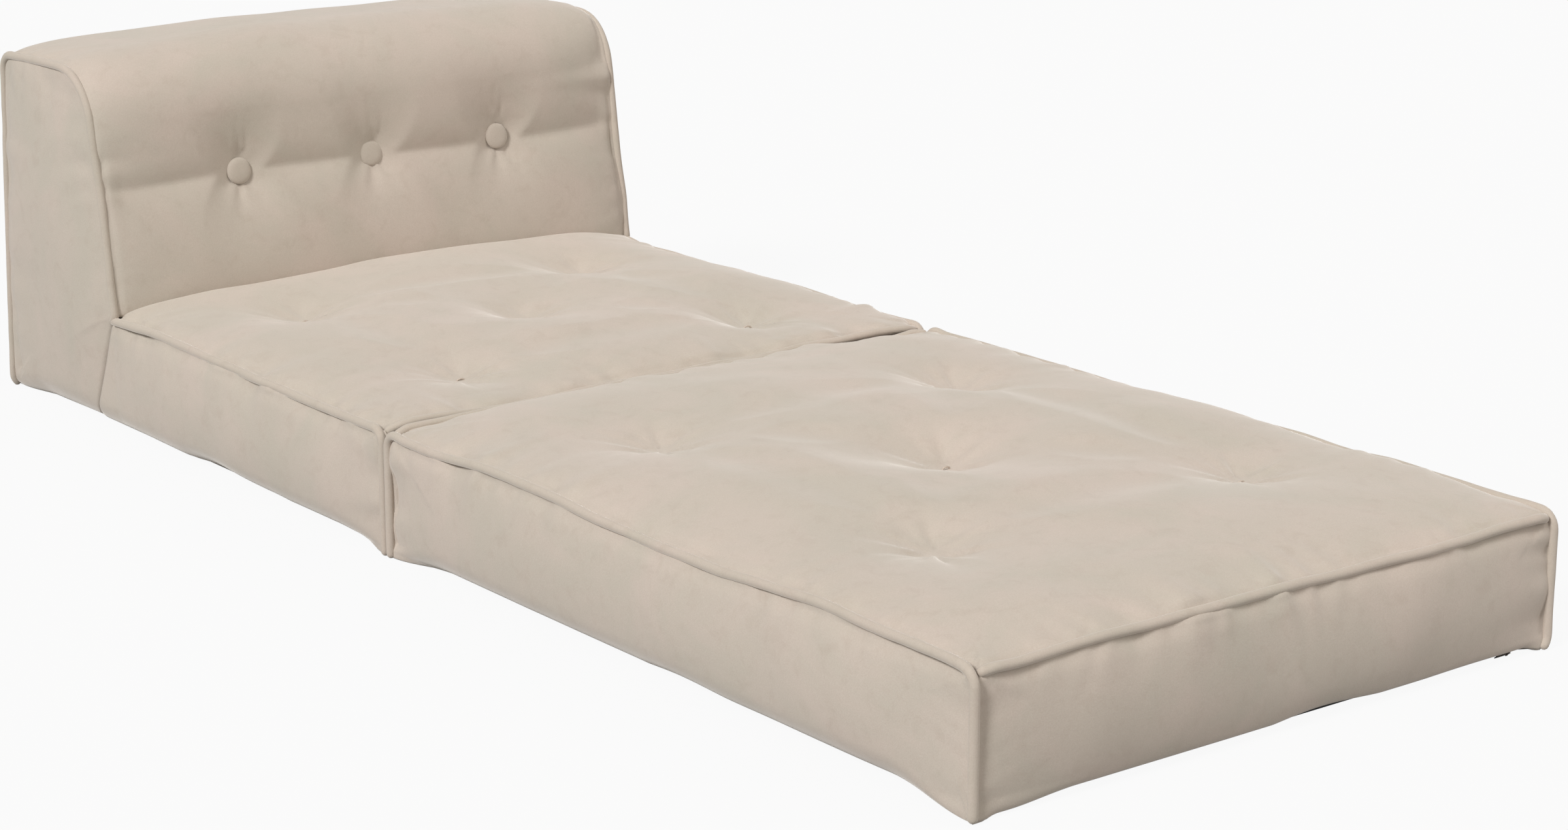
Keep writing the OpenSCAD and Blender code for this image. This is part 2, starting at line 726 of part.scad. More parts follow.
module foot_left_piping() side_piping(-1, foot_piping_line, foot_piping_bends);
module foot_right_piping() side_piping(1, foot_piping_line, foot_piping_bends);
module foot_front_piping() cross_piping(front_plane);
module foot_rear_piping() cross_piping(-seam_plane);
module seat_front_piping() cross_piping(seam_plane);
module left_piping() side_piping(-1, long_piping_line, long_piping_bends);
module right_piping() side_piping(1, long_piping_line, long_piping_bends);

module foot_filler_cords() {
    color(wadding_color) {
        for (side = [-1, 1]) side_bead(side, foot_piping_line, foot_piping_bends, filler_r);
        for (y = [front_plane, -seam_plane]) cross_bead(y, filler_r);
    }
}

module seat_filler_cords() {
    color(wadding_color) {
        for (side = [-1, 1]) side_bead(side, long_piping_line, long_piping_bends, filler_r);
        cross_bead(seam_plane, filler_r);
    }
}

// Tufts

module tuft_twines(tufts) {
    foot_z = base_t + washer_t;
    color(twine_color) for (t = tufts) translate([t[0], t[1], 0]) {
        translate([0, 0, foot_z]) cylinder(r = twine_r, h = tuft_z + twine_r - foot_z);
        translate([-stitch_length / 2, 0, tuft_z + twine_r]) rotate([0, 90, 0])
            cylinder(r = twine_r, h = stitch_length);
    }
}

module tuft_washers(tufts) {
    color(washer_color) for (t = tufts) translate([t[0], t[1], base_t])
        cylinder(r = washer_r, h = washer_t);
}

module foot_tuft_twines() tuft_twines(foot_tufts);
module foot_tuft_washers() tuft_washers(foot_tufts);
module seat_tuft_twines() tuft_twines(seat_tufts);
module seat_tuft_washers() tuft_washers(seat_tufts);

// Zips, on the tucked bottom edges
// In a zip's own frame +X runs along it, +Y climbs the edge and +Z leaves the cover.

zip_length = bed_width - 2 * zip_inset;
tape_z = clearance;
coil_z = tape_z + tape_t + coil_r + zip_clearance / 2;
coil_y = tape_gap / 2 + coil_r;
channel_w = 2 * (coil_y + coil_r + zip_clearance);
slider_foot = tape_z + tape_t + zip_clearance;
channel_top = coil_z + coil_r + zip_clearance;
slider_top = channel_top + slider_wall;
slider_x = zip_length / 2 - slider_l / 2;
pin_z = slider_top + pin_r + zip_clearance + slider_wall / 2;
pin_x = -slider_l / 4;
ear_w = slider_wall;
ear_y = pull_w / 2 - ear_w;
eye_r = pin_r + zip_clearance + pull_t / 2;

module at_zip(rear) {
    y = rear ? rear_line(0) - tuck_r : front_plane + tuck_r;
    translate([0, y, tuck_r])
        rotate([0, 0, rear ? 180 : 0]) rotate([90 + zip_angle, 0, 0])
            translate([0, 0, tuck_r]) children();
}

module zip_tapes(rear) {
    length = zip_length + 1.5 * slider_l;
    color(dark_color) at_zip(rear) for (side = [-1, 1])
        translate([-length / 2, side > 0 ? tape_gap / 2 : -tape_gap / 2 - tape_w, tape_z])
            cube([length, tape_w, tape_t]);
}

module zip_coils(rear) {
    color(dark_color) at_zip(rear) for (side = [-1, 1])
        translate([-zip_length / 2, side * coil_y, coil_z]) rotate([0, 90, 0])
            cylinder(r = coil_r, h = zip_length);
}

module zip_stops(rear) {
    color(metal_color) at_zip(rear) for (end = [-1, 1])
        translate([end * (zip_length / 2 + clearance + slider_wall / 2), 0,
                   tape_z + tape_t + slider_wall / 2])
            cube([slider_wall, channel_w, slider_wall], center = true);
}

module zip_slider(rear) {
    color(metal_color) at_zip(rear) translate([slider_x, 0, 0]) difference() {
        union() {
            translate([-slider_l / 2, -slider_w / 2, slider_foot])
                cube([slider_l, slider_w, slider_top - slider_foot]);
            for (side = [-1, 1]) translate([pin_x - eye_r,
                side > 0 ? ear_y : -ear_y - ear_w, slider_top - overrun / 2])
                cube([2 * eye_r, ear_w, pin_z + eye_r - slider_top + overrun / 2]);
            translate([pin_x, 0, pin_z]) rotate([90, 0, 0])
                cylinder(r = pin_r, h = 2 * ear_y + ear_w, center = true);
        }
        translate([-slider_l / 2 - overrun, -channel_w / 2, slider_foot - overrun])
            cube([slider_l + 2 * overrun, channel_w, channel_top - slider_foot + overrun]);
    }
}

module zip_pull(rear) {
    eye_w = 2 * (ear_y - zip_clearance);
    neck = eye_r * sqrt(2) + zip_clearance;
    color(metal_color) at_zip(rear) translate([slider_x + pin_x, 0, pin_z]) difference() {
        union() {
            rotate([90, 0, 0]) cylinder(r = eye_r, h = eye_w, center = true);
            translate([-neck - overrun, -eye_w / 2, -pull_t / 2])
                cube([neck + overrun, eye_w, pull_t]);
            translate([-pull_l, -pull_w / 2, -pull_t / 2]) cube([pull_l - neck, pull_w, pull_t]);
        }
        rotate([90, 0, 0])
            cylinder(r = pin_r + zip_clearance, h = eye_w + 2 * overrun, center = true);
    }
}

module foot_zip_tapes() zip_tapes(false);
module foot_zip_coils() zip_coils(false);
module foot_zip_stops() zip_stops(false);
module foot_zip_slider() zip_slider(false);
module foot_zip_pull() zip_pull(false);
module back_zip_tapes() zip_tapes(true);
module back_zip_coils() zip_coils(true);
module back_zip_stops() zip_stops(true);
module back_zip_slider() zip_slider(true);
module back_zip_pull() zip_pull(true);

module foot_left_panel() mirror([1, 0, 0]) foot_side_panel();
module foot_right_panel() foot_side_panel();
module foot_front_panel() cross_panel(foot_front_rows, front_at, -1);
module foot_rear_panel() cross_panel(foot_rear_rows, foot_seam_at, 1);
module seat_left_panel() mirror([1, 0, 0]) seat_side_panel();
module seat_right_panel() seat_side_panel();
module seat_front_panel() cross_panel(seat_front_rows, seat_seam_at, -1);
module backrest_left_panel() mirror([1, 0, 0]) backrest_side_panel();
module backrest_right_panel() backrest_side_panel();

// The footprint's middle is the origin.
front_reach = min([for (row = foot_front_rows) for (p = row) p[1]]);
rear_reach = max(concat(
    [for (row = rear_rows) for (p = row) p[1]],
    [for (p = bead_points(bead_stations(long_piping_line, long_piping_bends, piping_r), piping_r))
        p[1]]));
seam_shift = -(front_reach + rear_reach) / 2;

// Moves the pieces from the fold seam to the footprint's middle
module placed() translate([0, seam_shift, 0]) children();

placed() foot_foam_core();
placed() foot_wadding();
placed() foot_top_panel();
placed() foot_left_panel();
placed() foot_right_panel();
placed() foot_front_panel();
placed() foot_rear_panel();
placed() foot_base_panel();
placed() foot_left_piping();
placed() foot_right_piping();
placed() foot_front_piping();
placed() foot_rear_piping();
placed() foot_filler_cords();
placed() foot_tuft_twines();
placed() foot_tuft_washers();
placed() foot_zip_tapes();
placed() foot_zip_coils();
placed() foot_zip_stops();
placed() foot_zip_slider();
placed() foot_zip_pull();
placed() seat_foam_core();
placed() seat_wadding();
placed() seat_top_panel();
placed() seat_left_panel();
placed() seat_right_panel();
placed() seat_front_panel();
placed() seat_base_panel();
placed() seat_front_piping();
placed() seat_tuft_twines();
placed() seat_tuft_washers();
placed() left_piping();
placed() right_piping();
placed() seat_filler_cords();
placed() hinge_strip();
placed() backrest_foam_core();
placed() backrest_wadding();
placed() backrest_front_panel();
placed() backrest_left_panel();
placed() backrest_right_panel();
placed() backrest_rear_panel();
placed() button_caps();
placed() button_plates();
placed() button_twines();
placed() button_washers();
placed() back_zip_tapes();
placed() back_zip_coils();
placed() back_zip_stops();
placed() back_zip_slider();
placed() back_zip_pull();
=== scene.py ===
"""Dressing of the folding chair bed: padded covers, cords, buttons, stitches and zips.

Lengths are in millimetres, with y = 0 at the fold seam, until a mesh is made.
"""
import itertools
import json
import math

import bpy
import numpy as np
from mathutils import Matrix, Vector


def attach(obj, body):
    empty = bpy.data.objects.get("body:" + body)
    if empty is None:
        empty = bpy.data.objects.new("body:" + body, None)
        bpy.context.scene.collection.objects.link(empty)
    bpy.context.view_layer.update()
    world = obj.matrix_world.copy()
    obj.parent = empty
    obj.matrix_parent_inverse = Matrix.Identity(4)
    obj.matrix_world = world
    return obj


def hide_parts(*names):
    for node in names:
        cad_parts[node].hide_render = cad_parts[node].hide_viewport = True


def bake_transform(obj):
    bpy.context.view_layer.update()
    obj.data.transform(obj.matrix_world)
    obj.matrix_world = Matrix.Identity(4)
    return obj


scene = bpy.context.scene
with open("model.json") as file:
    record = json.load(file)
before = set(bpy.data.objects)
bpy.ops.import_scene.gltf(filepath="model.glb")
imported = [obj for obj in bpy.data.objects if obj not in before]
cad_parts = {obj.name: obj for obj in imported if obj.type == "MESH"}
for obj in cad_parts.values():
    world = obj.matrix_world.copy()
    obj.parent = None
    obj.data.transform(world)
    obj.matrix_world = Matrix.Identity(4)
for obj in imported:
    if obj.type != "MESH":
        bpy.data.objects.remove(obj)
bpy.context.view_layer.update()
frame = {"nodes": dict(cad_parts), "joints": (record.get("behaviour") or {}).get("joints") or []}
MM = 0.001
SEAM_Y = next(j for j in frame["joints"] if j["name"] == "fold_hinge")["pos_m"][1] / MM

# Camera, at the photograph's viewing angle
CAMERA_PLACE = (-2353.9, -3249.8, 1204.2)
CAMERA_YAW, CAMERA_PITCH, CAMERA_ROLL = 0.660908, 0.268161, 0.0013168
LENS, SENSOR_WIDTH, FAR_CLIP = 79.23, 36.0, 100.0


def place_camera():
    """The camera looks along its yaw and pitch, and is rolled a little about that line."""
    camera = bpy.data.objects.new("camera", bpy.data.cameras.new("camera"))
    camera.data.lens = LENS
    camera.data.sensor_width = SENSOR_WIDTH
    camera.data.clip_end = FAR_CLIP
    ahead = Vector((math.sin(CAMERA_YAW) * math.cos(CAMERA_PITCH),
                    math.cos(CAMERA_YAW) * math.cos(CAMERA_PITCH), -math.sin(CAMERA_PITCH)))
    across = Vector((math.cos(CAMERA_YAW), -math.sin(CAMERA_YAW), 0))
    upward = across.cross(ahead)
    turned = across * math.cos(CAMERA_ROLL) + upward * math.sin(CAMERA_ROLL)
    raised = upward * math.cos(CAMERA_ROLL) - across * math.sin(CAMERA_ROLL)
    x, y, z = CAMERA_PLACE
    moved = Matrix.Translation((x * MM, (y + SEAM_Y) * MM, z * MM))
    camera.matrix_world = moved @ Matrix((turned, raised, -ahead)).transposed().to_4x4()
    scene.collection.objects.link(camera)
    scene.camera = camera


place_camera()
scene.view_settings.view_transform = "Standard"

# The bed's own sizes, the same as in its drawing
HALF = 400.0
FOOT_LENGTH = 1020.0
SEAT_DEPTH = 655.0
SECTION_H = 150.0
BACK_H = 460.0
BACK_DEPTH = 310.0
SEAM_PLANE = 6.0
FRONT_LEAN, REAR_LEAN = 10.0, 3.5
FRONT_SLOPE = math.tan(math.radians(FRONT_LEAN))
REAR_SLOPE = math.tan(math.radians(REAR_LEAN))
BEND_R, REAR_R, TUCK_R = 18.0, 24.0, 36.0
TOE_RUN = 67.0
TUFT_SIDE = 215.0

# Sizes of the dressed pieces: the cover's front bend is rounder than the solid's, and the cords
# fill the gaps that the pipings lie in
FRONT_R = 74.0
CORD_R = 5.3
TOE_START, SOFT_GAP = 5.4, 0.8
TUFT_Z = 154.0
BUTTON_Z, BUTTON_R, BUTTON_PITCH, BUTTON_SEAT = 317.0, 17.5, 200.0, 2.0
BUTTON_XS = (-BUTTON_PITCH, 0.0, BUTTON_PITCH)
ZIP_ANGLE = math.radians(48)
CLOTH_HALF, CLOTH_INSET = 356.0, 42.6
HINGE_HALF, HINGE_REACH, HINGE_BEND = 354.0, 33.7, 20

# How full the covers stand out of their seams
CROWN, BACK_CROWN = 38.0, 28.0
END_BULGE, FOLD_BULGE, SIDE_BULGE = 17.0, 3.0, 17.0
REAR_BULGE, BACK_SIDE_BULGE = 12.0, 19.0
VALLEY, VALLEY_WIDTH, WIDE_VALLEY, WIDE_VALLEY_WIDTH = 12.0, 24.0, 7.0, 80.0
TUFT_DISH_R, BUTTON_DISH_R = 106.0, 84.0
SLACK_SPAN, SLACK_DEPTH, SLACK_RISE, SLACK_WIDTH = 480.0, 14.0, 7.0, 40.0
SEAT_REAR_ROUND, SEAT_REAR_SINK = 26.0, 0.16
SWELL_FOOT = 8.0
SEAM_DIP, SIDE_SEAM_DIP = (2.2, 8.0), (2.4, 9.0)
SEAM_DIP_WIDTH = 7.0

# How the corners turn in at the floor, and the heights of the lowest rows
CORNER_TUCK, SIDE_TUCK, RIGHT_TUCK_SHARE = 4.0, 18.0, 0.8
WALL_FOOT, CORNER_FOOT, CORNER_TURN = 0.8, 1.5, 22.0
LEAST_Z, BOTTOM_RISE = 0.6, 2.4
# The front's profile ends in a lip that hangs in front of the zip, and runs on behind its tapes.
LIP = [(-0.1, 22), (-0.1, 16), (-0.8, 12), (-2.1, 9.3), (-3.5, 8.4), (-4.2, 9.6), (-3.3, 12), (-2.0, 16),
       (-2.4, 18.4), (-3.6, 17.7), (-6.4, 14.6), (-12.3, 9.2), (-20.9, 1.7), (-25, 0.9), (-36, 0.8)]
LIP_TOP = LIP[0][1]
LIP_INWARD = 10.0
HANG, HANG_START, HANG_REACH = 5.5, 270.0, 85.0
LIP_EDGE_Z, LIP_EDGE_WIDTH, LIP_BACK = 8.5, 5.0, -4.4

# Rows and columns of the covers' grids
COLUMNS = 180
FOOT_TOP_ROWS, SEAT_TOP_ROWS = 220, 150
SIDE_ROWS, ARC_ROWS = 58, 14
LIP_ROWS, LIP_FALL_ROWS = 30, 7
TOE_ROWS, FACE_ROWS, FLAT_ROWS = 12, 61, 35
REAR_SEAM_ROW = 2

# How far in from a corner or a seam its own line still shows
CORNER_REACH = 30.0
LOW_REACH, LIP_REACH = 120.0, 33.0
LOW_TOP, LOW_FADE, UPPER_Z = 78.0, 55.0, 60.0
HEM_REACH = 110.0
SIDE_FRONT_REACH, SIDE_REAR_REACH = 32.0, 38.0
CORNER_FADE, SWAY_FADE, SEAM_FADE = 14.0, 16.0, 45.0
BACK_SWAY_FADE, BACK_SEAM_FADE = 18.0, 40.0
BACK_FRONT_REACH, BACK_REAR_REACH = 60.0, 95.0
BACK_FOOT, REAR_FOOT, REAR_FOOT_FADE = 20.0, 10.0, 60.0

# Soft waves of the sewn fabric, each a height and a size
SIDE_SWAY, SIDE_RISE = ((2.6, 150), (1.1, 60)), ((4.4, 170), (2.0, 75))
CROSS_SWAY, CROSS_RISE = ((2.0, 130), (0.9, 50)), ((3.8, 160), (1.7, 65))
BACK_SWAY, BACK_RISE = ((1.6, 140), (0.7, 55)), ((2.4, 150), (1.2, 70))
END_LOBES, SIDE_LOBES = ((3.4, 110), (2.6, 230)), ((4.2, 120), (3.2, 260))
END_LUMPS, SIDE_LUMPS, BACK_LUMPS = ((0.13, 140), (0.07, 60)), ((2.6, 130), (1.4, 55)), ((3.0, 120),)
TOP_SOFT, BACK_SOFT = ((5.0, 165), (3.0, 78)), ((3.0, 170), (1.6, 80))
VALLEY_WANDER, CORD_THICKNESS = ((5.0, 160),), ((0.035, 22), (0.03, 70))
FOLD_SWAY = 0.6
# The low edge's lobes: the height where they are fullest, their width, the least of them, and the
# height up to which the cover lies still on the floor
END_HEM, SIDE_HEM = (6.0, 22.0, -0.5, 3.0), (5.0, 26.0, -0.4, 2.0)


def five_tufts(near, far):
    """Two rows of two tufts, at the given y, with one tuft in their middle."""
    pairs = [[(-TUFT_SIDE, y), (TUFT_SIDE, y)] for y in (near, far)]
    return pairs[0] + [(0.0, (near + far) / 2)] + pairs[1]


FOOT_TUFTS = five_tufts(-275.0, -745.0)
SEAT_TUFTS = five_tufts(130.0, 495.0)


# Shapes in one and two parameters

def smooth(t):
    """Smoothstep: 3t squared less 2t cubed, for t held between 0 and 1."""
    t = np.clip(t, 0, 1)
    return t * t * (3 - 2 * t)


def bell(d, width):
    """A bump of height 1: e to the power of minus the square of d over its width."""
    return np.exp(-(d / width) ** 2)


def drift(coords, size, seed):
    """Soft noise from -1 to 1: random values on a lattice, joined by smoothstep along each axis."""
    cells = 32
    axes = coords.shape[-1]
    table = np.random.default_rng(seed).uniform(-1, 1, (cells,) * axes)
    place = coords / size
    cell = np.floor(place).astype(int)
    part = smooth(place - cell)
    total = 0
    for corner in itertools.product((0, 1), repeat=axes):
        weight = 1
        for axis, step in enumerate(corner):
            weight = weight * (part[..., axis] if step else 1 - part[..., axis])
        total = total + weight * table[tuple((cell[..., a] + s) % cells for a, s in enumerate(corner))]
    return total


def line_drift(s, size, seed):
    """The same soft noise along one line."""
    return drift(np.asarray(s, float)[..., None] + 5000.0, size, seed)


def waves(coords, parts, seeds):
    """A sum of soft noises: each part's height times the noise of its size and seed."""
    return sum(height * drift(coords, size, seed) for (height, size), seed in zip(parts, seeds))


def line_waves(s, parts, seeds):
    """The same sum along one line."""
    return sum(height * line_drift(s, size, seed) for (height, size), seed in zip(parts, seeds))


def drop(d, r):
    """How far a round corner of radius r has fallen at distance d from its end plane."""
    inner = np.clip(r - d, 0, r)
    return r - np.sqrt(r * r - inner * inner)


def along(points, steps):
    """Points at even distances on a polyline rounded by a cardinal spline through its knots."""
    p = np.asarray(points, float)
    ends = np.vstack([2 * p[0] - p[1], p, 2 * p[-1] - p[-2]])
    t = np.linspace(0, 1, 24, endpoint=False)[:, None, None]
    a, b, c, d = ends[:-3], ends[1:-2], ends[2:-1], ends[3:]
    curve = 0.5 * (2 * b + (c - a) * t + (2 * a - 5 * b + 4 * c - d) * t ** 2
                   + (3 * b - a - 3 * c + d) * t ** 3)
    curve = np.vstack([curve.transpose(1, 0, 2).reshape(-1, p.shape[1]), p[-1:]])
    return at_runs(curve, steps)


def run_of(line):
    """The distance along a line of points from its first point to each of them."""
    return np.concatenate([[0], np.cumsum(np.linalg.norm(np.diff(line, axis=0), axis=1))])


def at_runs(line, steps):
    """So many even steps along a line of points."""
    run = run_of(line)
    want = np.linspace(0, run[-1], steps + 1)
    return np.stack([np.interp(want, run, line[:, k]) for k in range(line.shape[1])], axis=1)


def puff(s, power=4.0, fullness=0.6):
    """Share of a crown at share s: 1 less the distance from the middle to a power, to a power."""
    return np.maximum(0, 1 - np.abs(2 * s - 1) ** power) ** fullness


def bulge_share(s):
    """Share of a panel's bulge at share s: 1 less the fourth power of the distance from the middle."""
    return 1 - np.abs(2 * s - 1) ** 4


def hollow(d, r):
    """Share of a tuft's depth at distance d: 0.6 of a wide bell and 0.4 of one 2.2 times narrower."""
    return 0.60 * bell(d, r) + 0.40 * bell(2.2 * d, r)


def crowded(n, share=0.3):
    """Shares from 0 to 1 in n steps that are closer together near both ends, by a sine."""
    t = np.arange(n + 1) / n
    return t - share * np.sin(2 * np.pi * t) / (2 * np.pi)


def coons(low, high, first, last):
    """A grid between four edges that meet at its corners.

    Rows run from low to high and columns from first to last. Each point is the two straight blends
    between facing edges, less the blend of the four corners.
    """
    t = np.linspace(0, 1, len(first))[:, None, None]
    s = np.linspace(0, 1, len(low))[None, :, None]
    return ((1 - t) * low[None] + t * high[None] + (1 - s) * first[:, None] + s * last[:, None]
            - (1 - t) * (1 - s) * low[0] - (1 - t) * s * low[-1]
            - t * (1 - s) * high[0] - t * s * high[-1])


# How the cords wander off their straight lines, from the seams' own ends

def end_window(s, low, high, reach=45.0):
    """0 at both ends of a stretch and 1 further in than the reach."""
    return smooth((s - low) / reach) * smooth((high - s) / reach)


def side_sway(y, side, low, high):
    """Sideways and upward sway of a side cord at y, still at its ends."""
    window = end_window(y, low, high)
    seed = 11 if side < 0 else 23
    return (window * line_waves(y, SIDE_SWAY, (seed, seed + 1)),
            window * line_waves(y, SIDE_RISE, (seed + 2, seed + 3)))


def cross_sway(x, seed):
    """Forward and upward sway of a cross cord at x, still at its ends."""
    window = end_window(x, -HALF, HALF, 60.0)
    return (window * line_waves(x, CROSS_SWAY, (seed, seed + 1)),
            window * line_waves(x, CROSS_RISE, (seed + 2, seed + 3)))


# Meshes

def make_mesh(name, points, faces):
    """A smooth mesh object from millimetre points, y counted from the fold seam."""
    mesh = bpy.data.meshes.new(name)
    placed = (np.asarray(points, float).reshape(-1, 3) + (0, SEAM_Y, 0)) * MM
    mesh.from_pydata(placed.tolist(), [], faces)
    mesh.shade_smooth()
    mesh.validate()
    obj = bpy.data.objects.new(name, mesh)
    scene.collection.objects.link(obj)
    return obj


def grid_quads(rows, columns, flip=False):
    """Corner numbers of the cells of a grid of points."""
    k = (np.arange(rows - 1)[:, None] * columns + np.arange(columns - 1)).ravel()
    quads = np.stack([k, k + 1, k + columns + 1, k + columns], axis=1)
    return quads[:, ::-1] if flip else quads


def ring_quads(rings, sides):
    """Corner numbers of the cells between closed rings of points."""
    k = np.arange(rings - 1)[:, None] * sides
    j = np.arange(sides)
    after = (j + 1) % sides
    return np.stack([k + j, k + after, k + sides + after, k + sides + j], axis=-1).reshape(-1, 4).tolist()


def pole_faces(rings, sides):
    """Triangles that close the first and the last ring with two poles, numbered after the rings."""
    j = np.arange(sides)
    after = (j + 1) % sides
    pole, last = rings * sides, (rings - 1) * sides
    low = np.stack([0 * j + pole, after, j], axis=1)
    high = np.stack([0 * j + pole + 1, last + j, last + after], axis=1)
    return low.tolist() + high.tolist()


def points_of(obj):
    """A mesh's points in millimetres from the fold seam."""
    co = np.empty(len(obj.data.vertices) * 3, np.float32)
    obj.data.vertices.foreach_get("co", co)
    return co.reshape(-1, 3).astype(float) / MM - (0, SEAM_Y, 0)


def normals_of(obj):
    """A mesh's outward directions, one at each point."""
    out = np.empty(len(obj.data.vertices) * 3, np.float32)
    obj.data.vertex_normals.foreach_get("vector", out)
    return out.reshape(-1, 3).astype(float)


def set_points(obj, points):
    """Moves a mesh's points to new places in millimetres."""
    placed = ((points + (0, SEAM_Y, 0)) * MM).astype(np.float32)
    obj.data.vertices.foreach_set("co", placed.ravel())
    obj.data.update()


def closed_box(name, belt, left, right):
    """A closed form from grids that share their edges.

    The belt runs over the front, the top and the rear, column 0 on the left; the sides fill its
    ends, and a bottom just above the base cloth, a Coons grid, fills what is left. Points that fall
    together are merged.
    """
    bottom = coons(belt[0], belt[-1], left[0], right[0])
    bottom[1:-1, 1:-1, 2] += BOTTOM_RISE
    bottom[0], bottom[-1], bottom[:, 0], bottom[:, -1] = belt[0], belt[-1], left[0], right[0]
    grids = [belt, left, right, bottom]
    starts = np.cumsum([0] + [g.shape[0] * g.shape[1] for g in grids])
    faces = np.concatenate([grid_quads(*g.shape[:2], flip=f) + s
                            for g, f, s in zip(grids, (False, True, False, True), starts)])
    points = np.concatenate([g.reshape(-1, 3) for g in grids])
    first, back = np.unique(np.round(points, 3), axis=0, return_index=True, return_inverse=True)[1:]
    return make_mesh(name, points[first], back.ravel()[faces].tolist())


# Profiles of the panels: how far out and how high each row lies, from the seam down to the floor

CORNER_FALL = drop(BEND_R * (1 - math.sqrt(0.5)), BEND_R)


def swell(z):
    """Bulge share at height z of a panel: none at the floor and the cord, fullest near its middle."""
    share = np.clip((z - SWELL_FOOT) / (SECTION_H - SWELL_FOOT), 0, 1)
    return np.sin(np.pi * share ** 0.9) ** 0.65


def from_seam(top, low_out, low_z):
    """Straight rows from a seam's height down to a low profile, and that profile below them."""
    down = SIDE_ROWS + 1 - len(low_z)
    return (np.concatenate([np.zeros(down), low_out]),
            np.concatenate([np.linspace(top, low_z[0], down + 1)[:-1], low_z]))


def tucked_profile(lipped=False):
    """Rows of a panel's middle: straight, then a quarter circle's tuck or the zip's lip."""
    if lipped:
        return from_seam(SECTION_H, *along(LIP, LIP_ROWS).T)
    a = np.linspace(0, np.pi / 2, ARC_ROWS + 1)
    return from_seam(SECTION_H, -TUCK_R * (1 - np.cos(a)), TUCK_R - (TUCK_R - WALL_FOOT) * np.sin(a))


def lip_corner():
    """Rows of a corner beside a zip's lip: down to the floor, then a little way in along it."""
    flat_rows = LIP_ROWS - LIP_FALL_ROWS
    fall = np.linspace(LIP_TOP, CORNER_FOOT, LIP_FALL_ROWS + 1)
    z = np.concatenate([fall, np.full(flat_rows, CORNER_FOOT)])
    inward = np.concatenate([np.zeros(LIP_FALL_ROWS), np.linspace(0, LIP_INWARD, flat_rows + 1)])
    return -drop(z, CORNER_TUCK) - inward, z


def corner_profile(lipped=False):
    """Rows of a corner cord's line: straight down, with a small tuck at the floor."""
    if lipped:
        return from_seam(SECTION_H - CORNER_FALL, *lip_corner())
    z = np.linspace(CORNER_TURN, CORNER_FOOT, ARC_ROWS + 1)
    return from_seam(SECTION_H - CORNER_FALL, -drop(z, CORNER_TUCK), z)


def seam_columns():
    """The columns' x from the left seam to the right one."""
    return HALF * (2 * crowded(COLUMNS) - 1)


def corner_blend(x, reach):
    """0 at both side seams and 1 further in than the reach."""
    return smooth((HALF - np.abs(x)) / reach)


def low_share(z):
    """1 near the floor and 0 above the tuck, a smoothstep between, one value to a row."""
    return smooth((LOW_TOP - z) / LOW_FADE)[:, None]


def hem_lift(lobes, z, hem):
    """How far the low edge's lobes lift each row: a bell about the hem's height."""
    height, width, least, still = hem
    return np.maximum(lobes, least) * (bell(z - height, width) * (z > still))[:, None]


def seam_dip(below, dip=SEAM_DIP):
    """How deep a cover is drawn in beside its cord: a bell a few millimetres below the seam."""
    depth, place = dip
    return depth * bell(below - place, SEAM_DIP_WIDTH)


# The foot's and the seat's cushions

def end_panel(x, plane, out, bulge, lipped, seed):
    """A front (out -1) or rear (out 1) panel, its rows from the top seam down to the floor.

    Each row blends from the panel's own profile in the middle to the corner cords' line at its
    ends. The cord's sway moves the upper rows, lobes lift the low edge, and a bulge fills it.
    """
    mid_out, mid_z = tucked_profile(lipped)
    edge_out, edge_z = corner_profile(lipped)
    inner = corner_blend(x, CORNER_REACH)
    sway, rise = cross_sway(x, seed)
    if not lipped:
        # The two walls at the fold only sway away from each other.
        sway = -FOLD_SWAY * np.abs(sway)
    top_share = np.clip(mid_z / SECTION_H, 0, 1)[:, None] ** 2
    low = low_share(mid_z)
    share = inner * (1 - low) + corner_blend(x, LIP_REACH if lipped else LOW_REACH) * low
    z = mid_z[:, None] * share + edge_z[:, None] * (1 - share) + rise * top_share
    lobes = line_waves(x, END_LOBES, (seed + 7, seed + 8))
    z = np.maximum(z + hem_lift(lobes, mid_z, END_HEM) * corner_blend(x, HEM_REACH), LEAST_Z)
    if lipped:
        # Near its left end the lip hangs lower, down to the corner, and covers the zip's end.
        hang = np.where(x < 0, HANG, 0.0) * smooth((np.abs(x) - HANG_START) / HANG_REACH)
        lip_rows = bell(mid_z - LIP_EDGE_Z, LIP_EDGE_WIDTH) * (mid_out > LIP_BACK)
        z = np.maximum(z - hang * lip_rows[:, None], LEAST_Z)
    tuck = mid_out[:, None] * share + edge_out[:, None] * (1 - share)
    upper_rows = (edge_z > UPPER_Z)[:, None]
    round_in = drop(SECTION_H - edge_z, BEND_R)[:, None] * (1 - inner) * upper_rows
    fullness = bulge * (1 + line_waves(x, END_LUMPS, (seed + 9, seed + 10)))
    y_out = (tuck - round_in + sway * top_share
             + fullness * swell(mid_z)[:, None] * bulge_share(0.5 + x / (2 * HALF))
             - seam_dip(SECTION_H - mid_z)[:, None] * inner)
    # The right corner is drawn in further at the floor than the left one.
    left_tuck = drop(edge_z, CORNER_TUCK)[:, None]
    right_tuck = RIGHT_TUCK_SHARE * drop(edge_z, SIDE_TUCK)[:, None]
    reach = HALF - np.where(x < 0, left_tuck, right_tuck)
    return np.stack([x / HALF * reach, plane + out * y_out, z], axis=2)


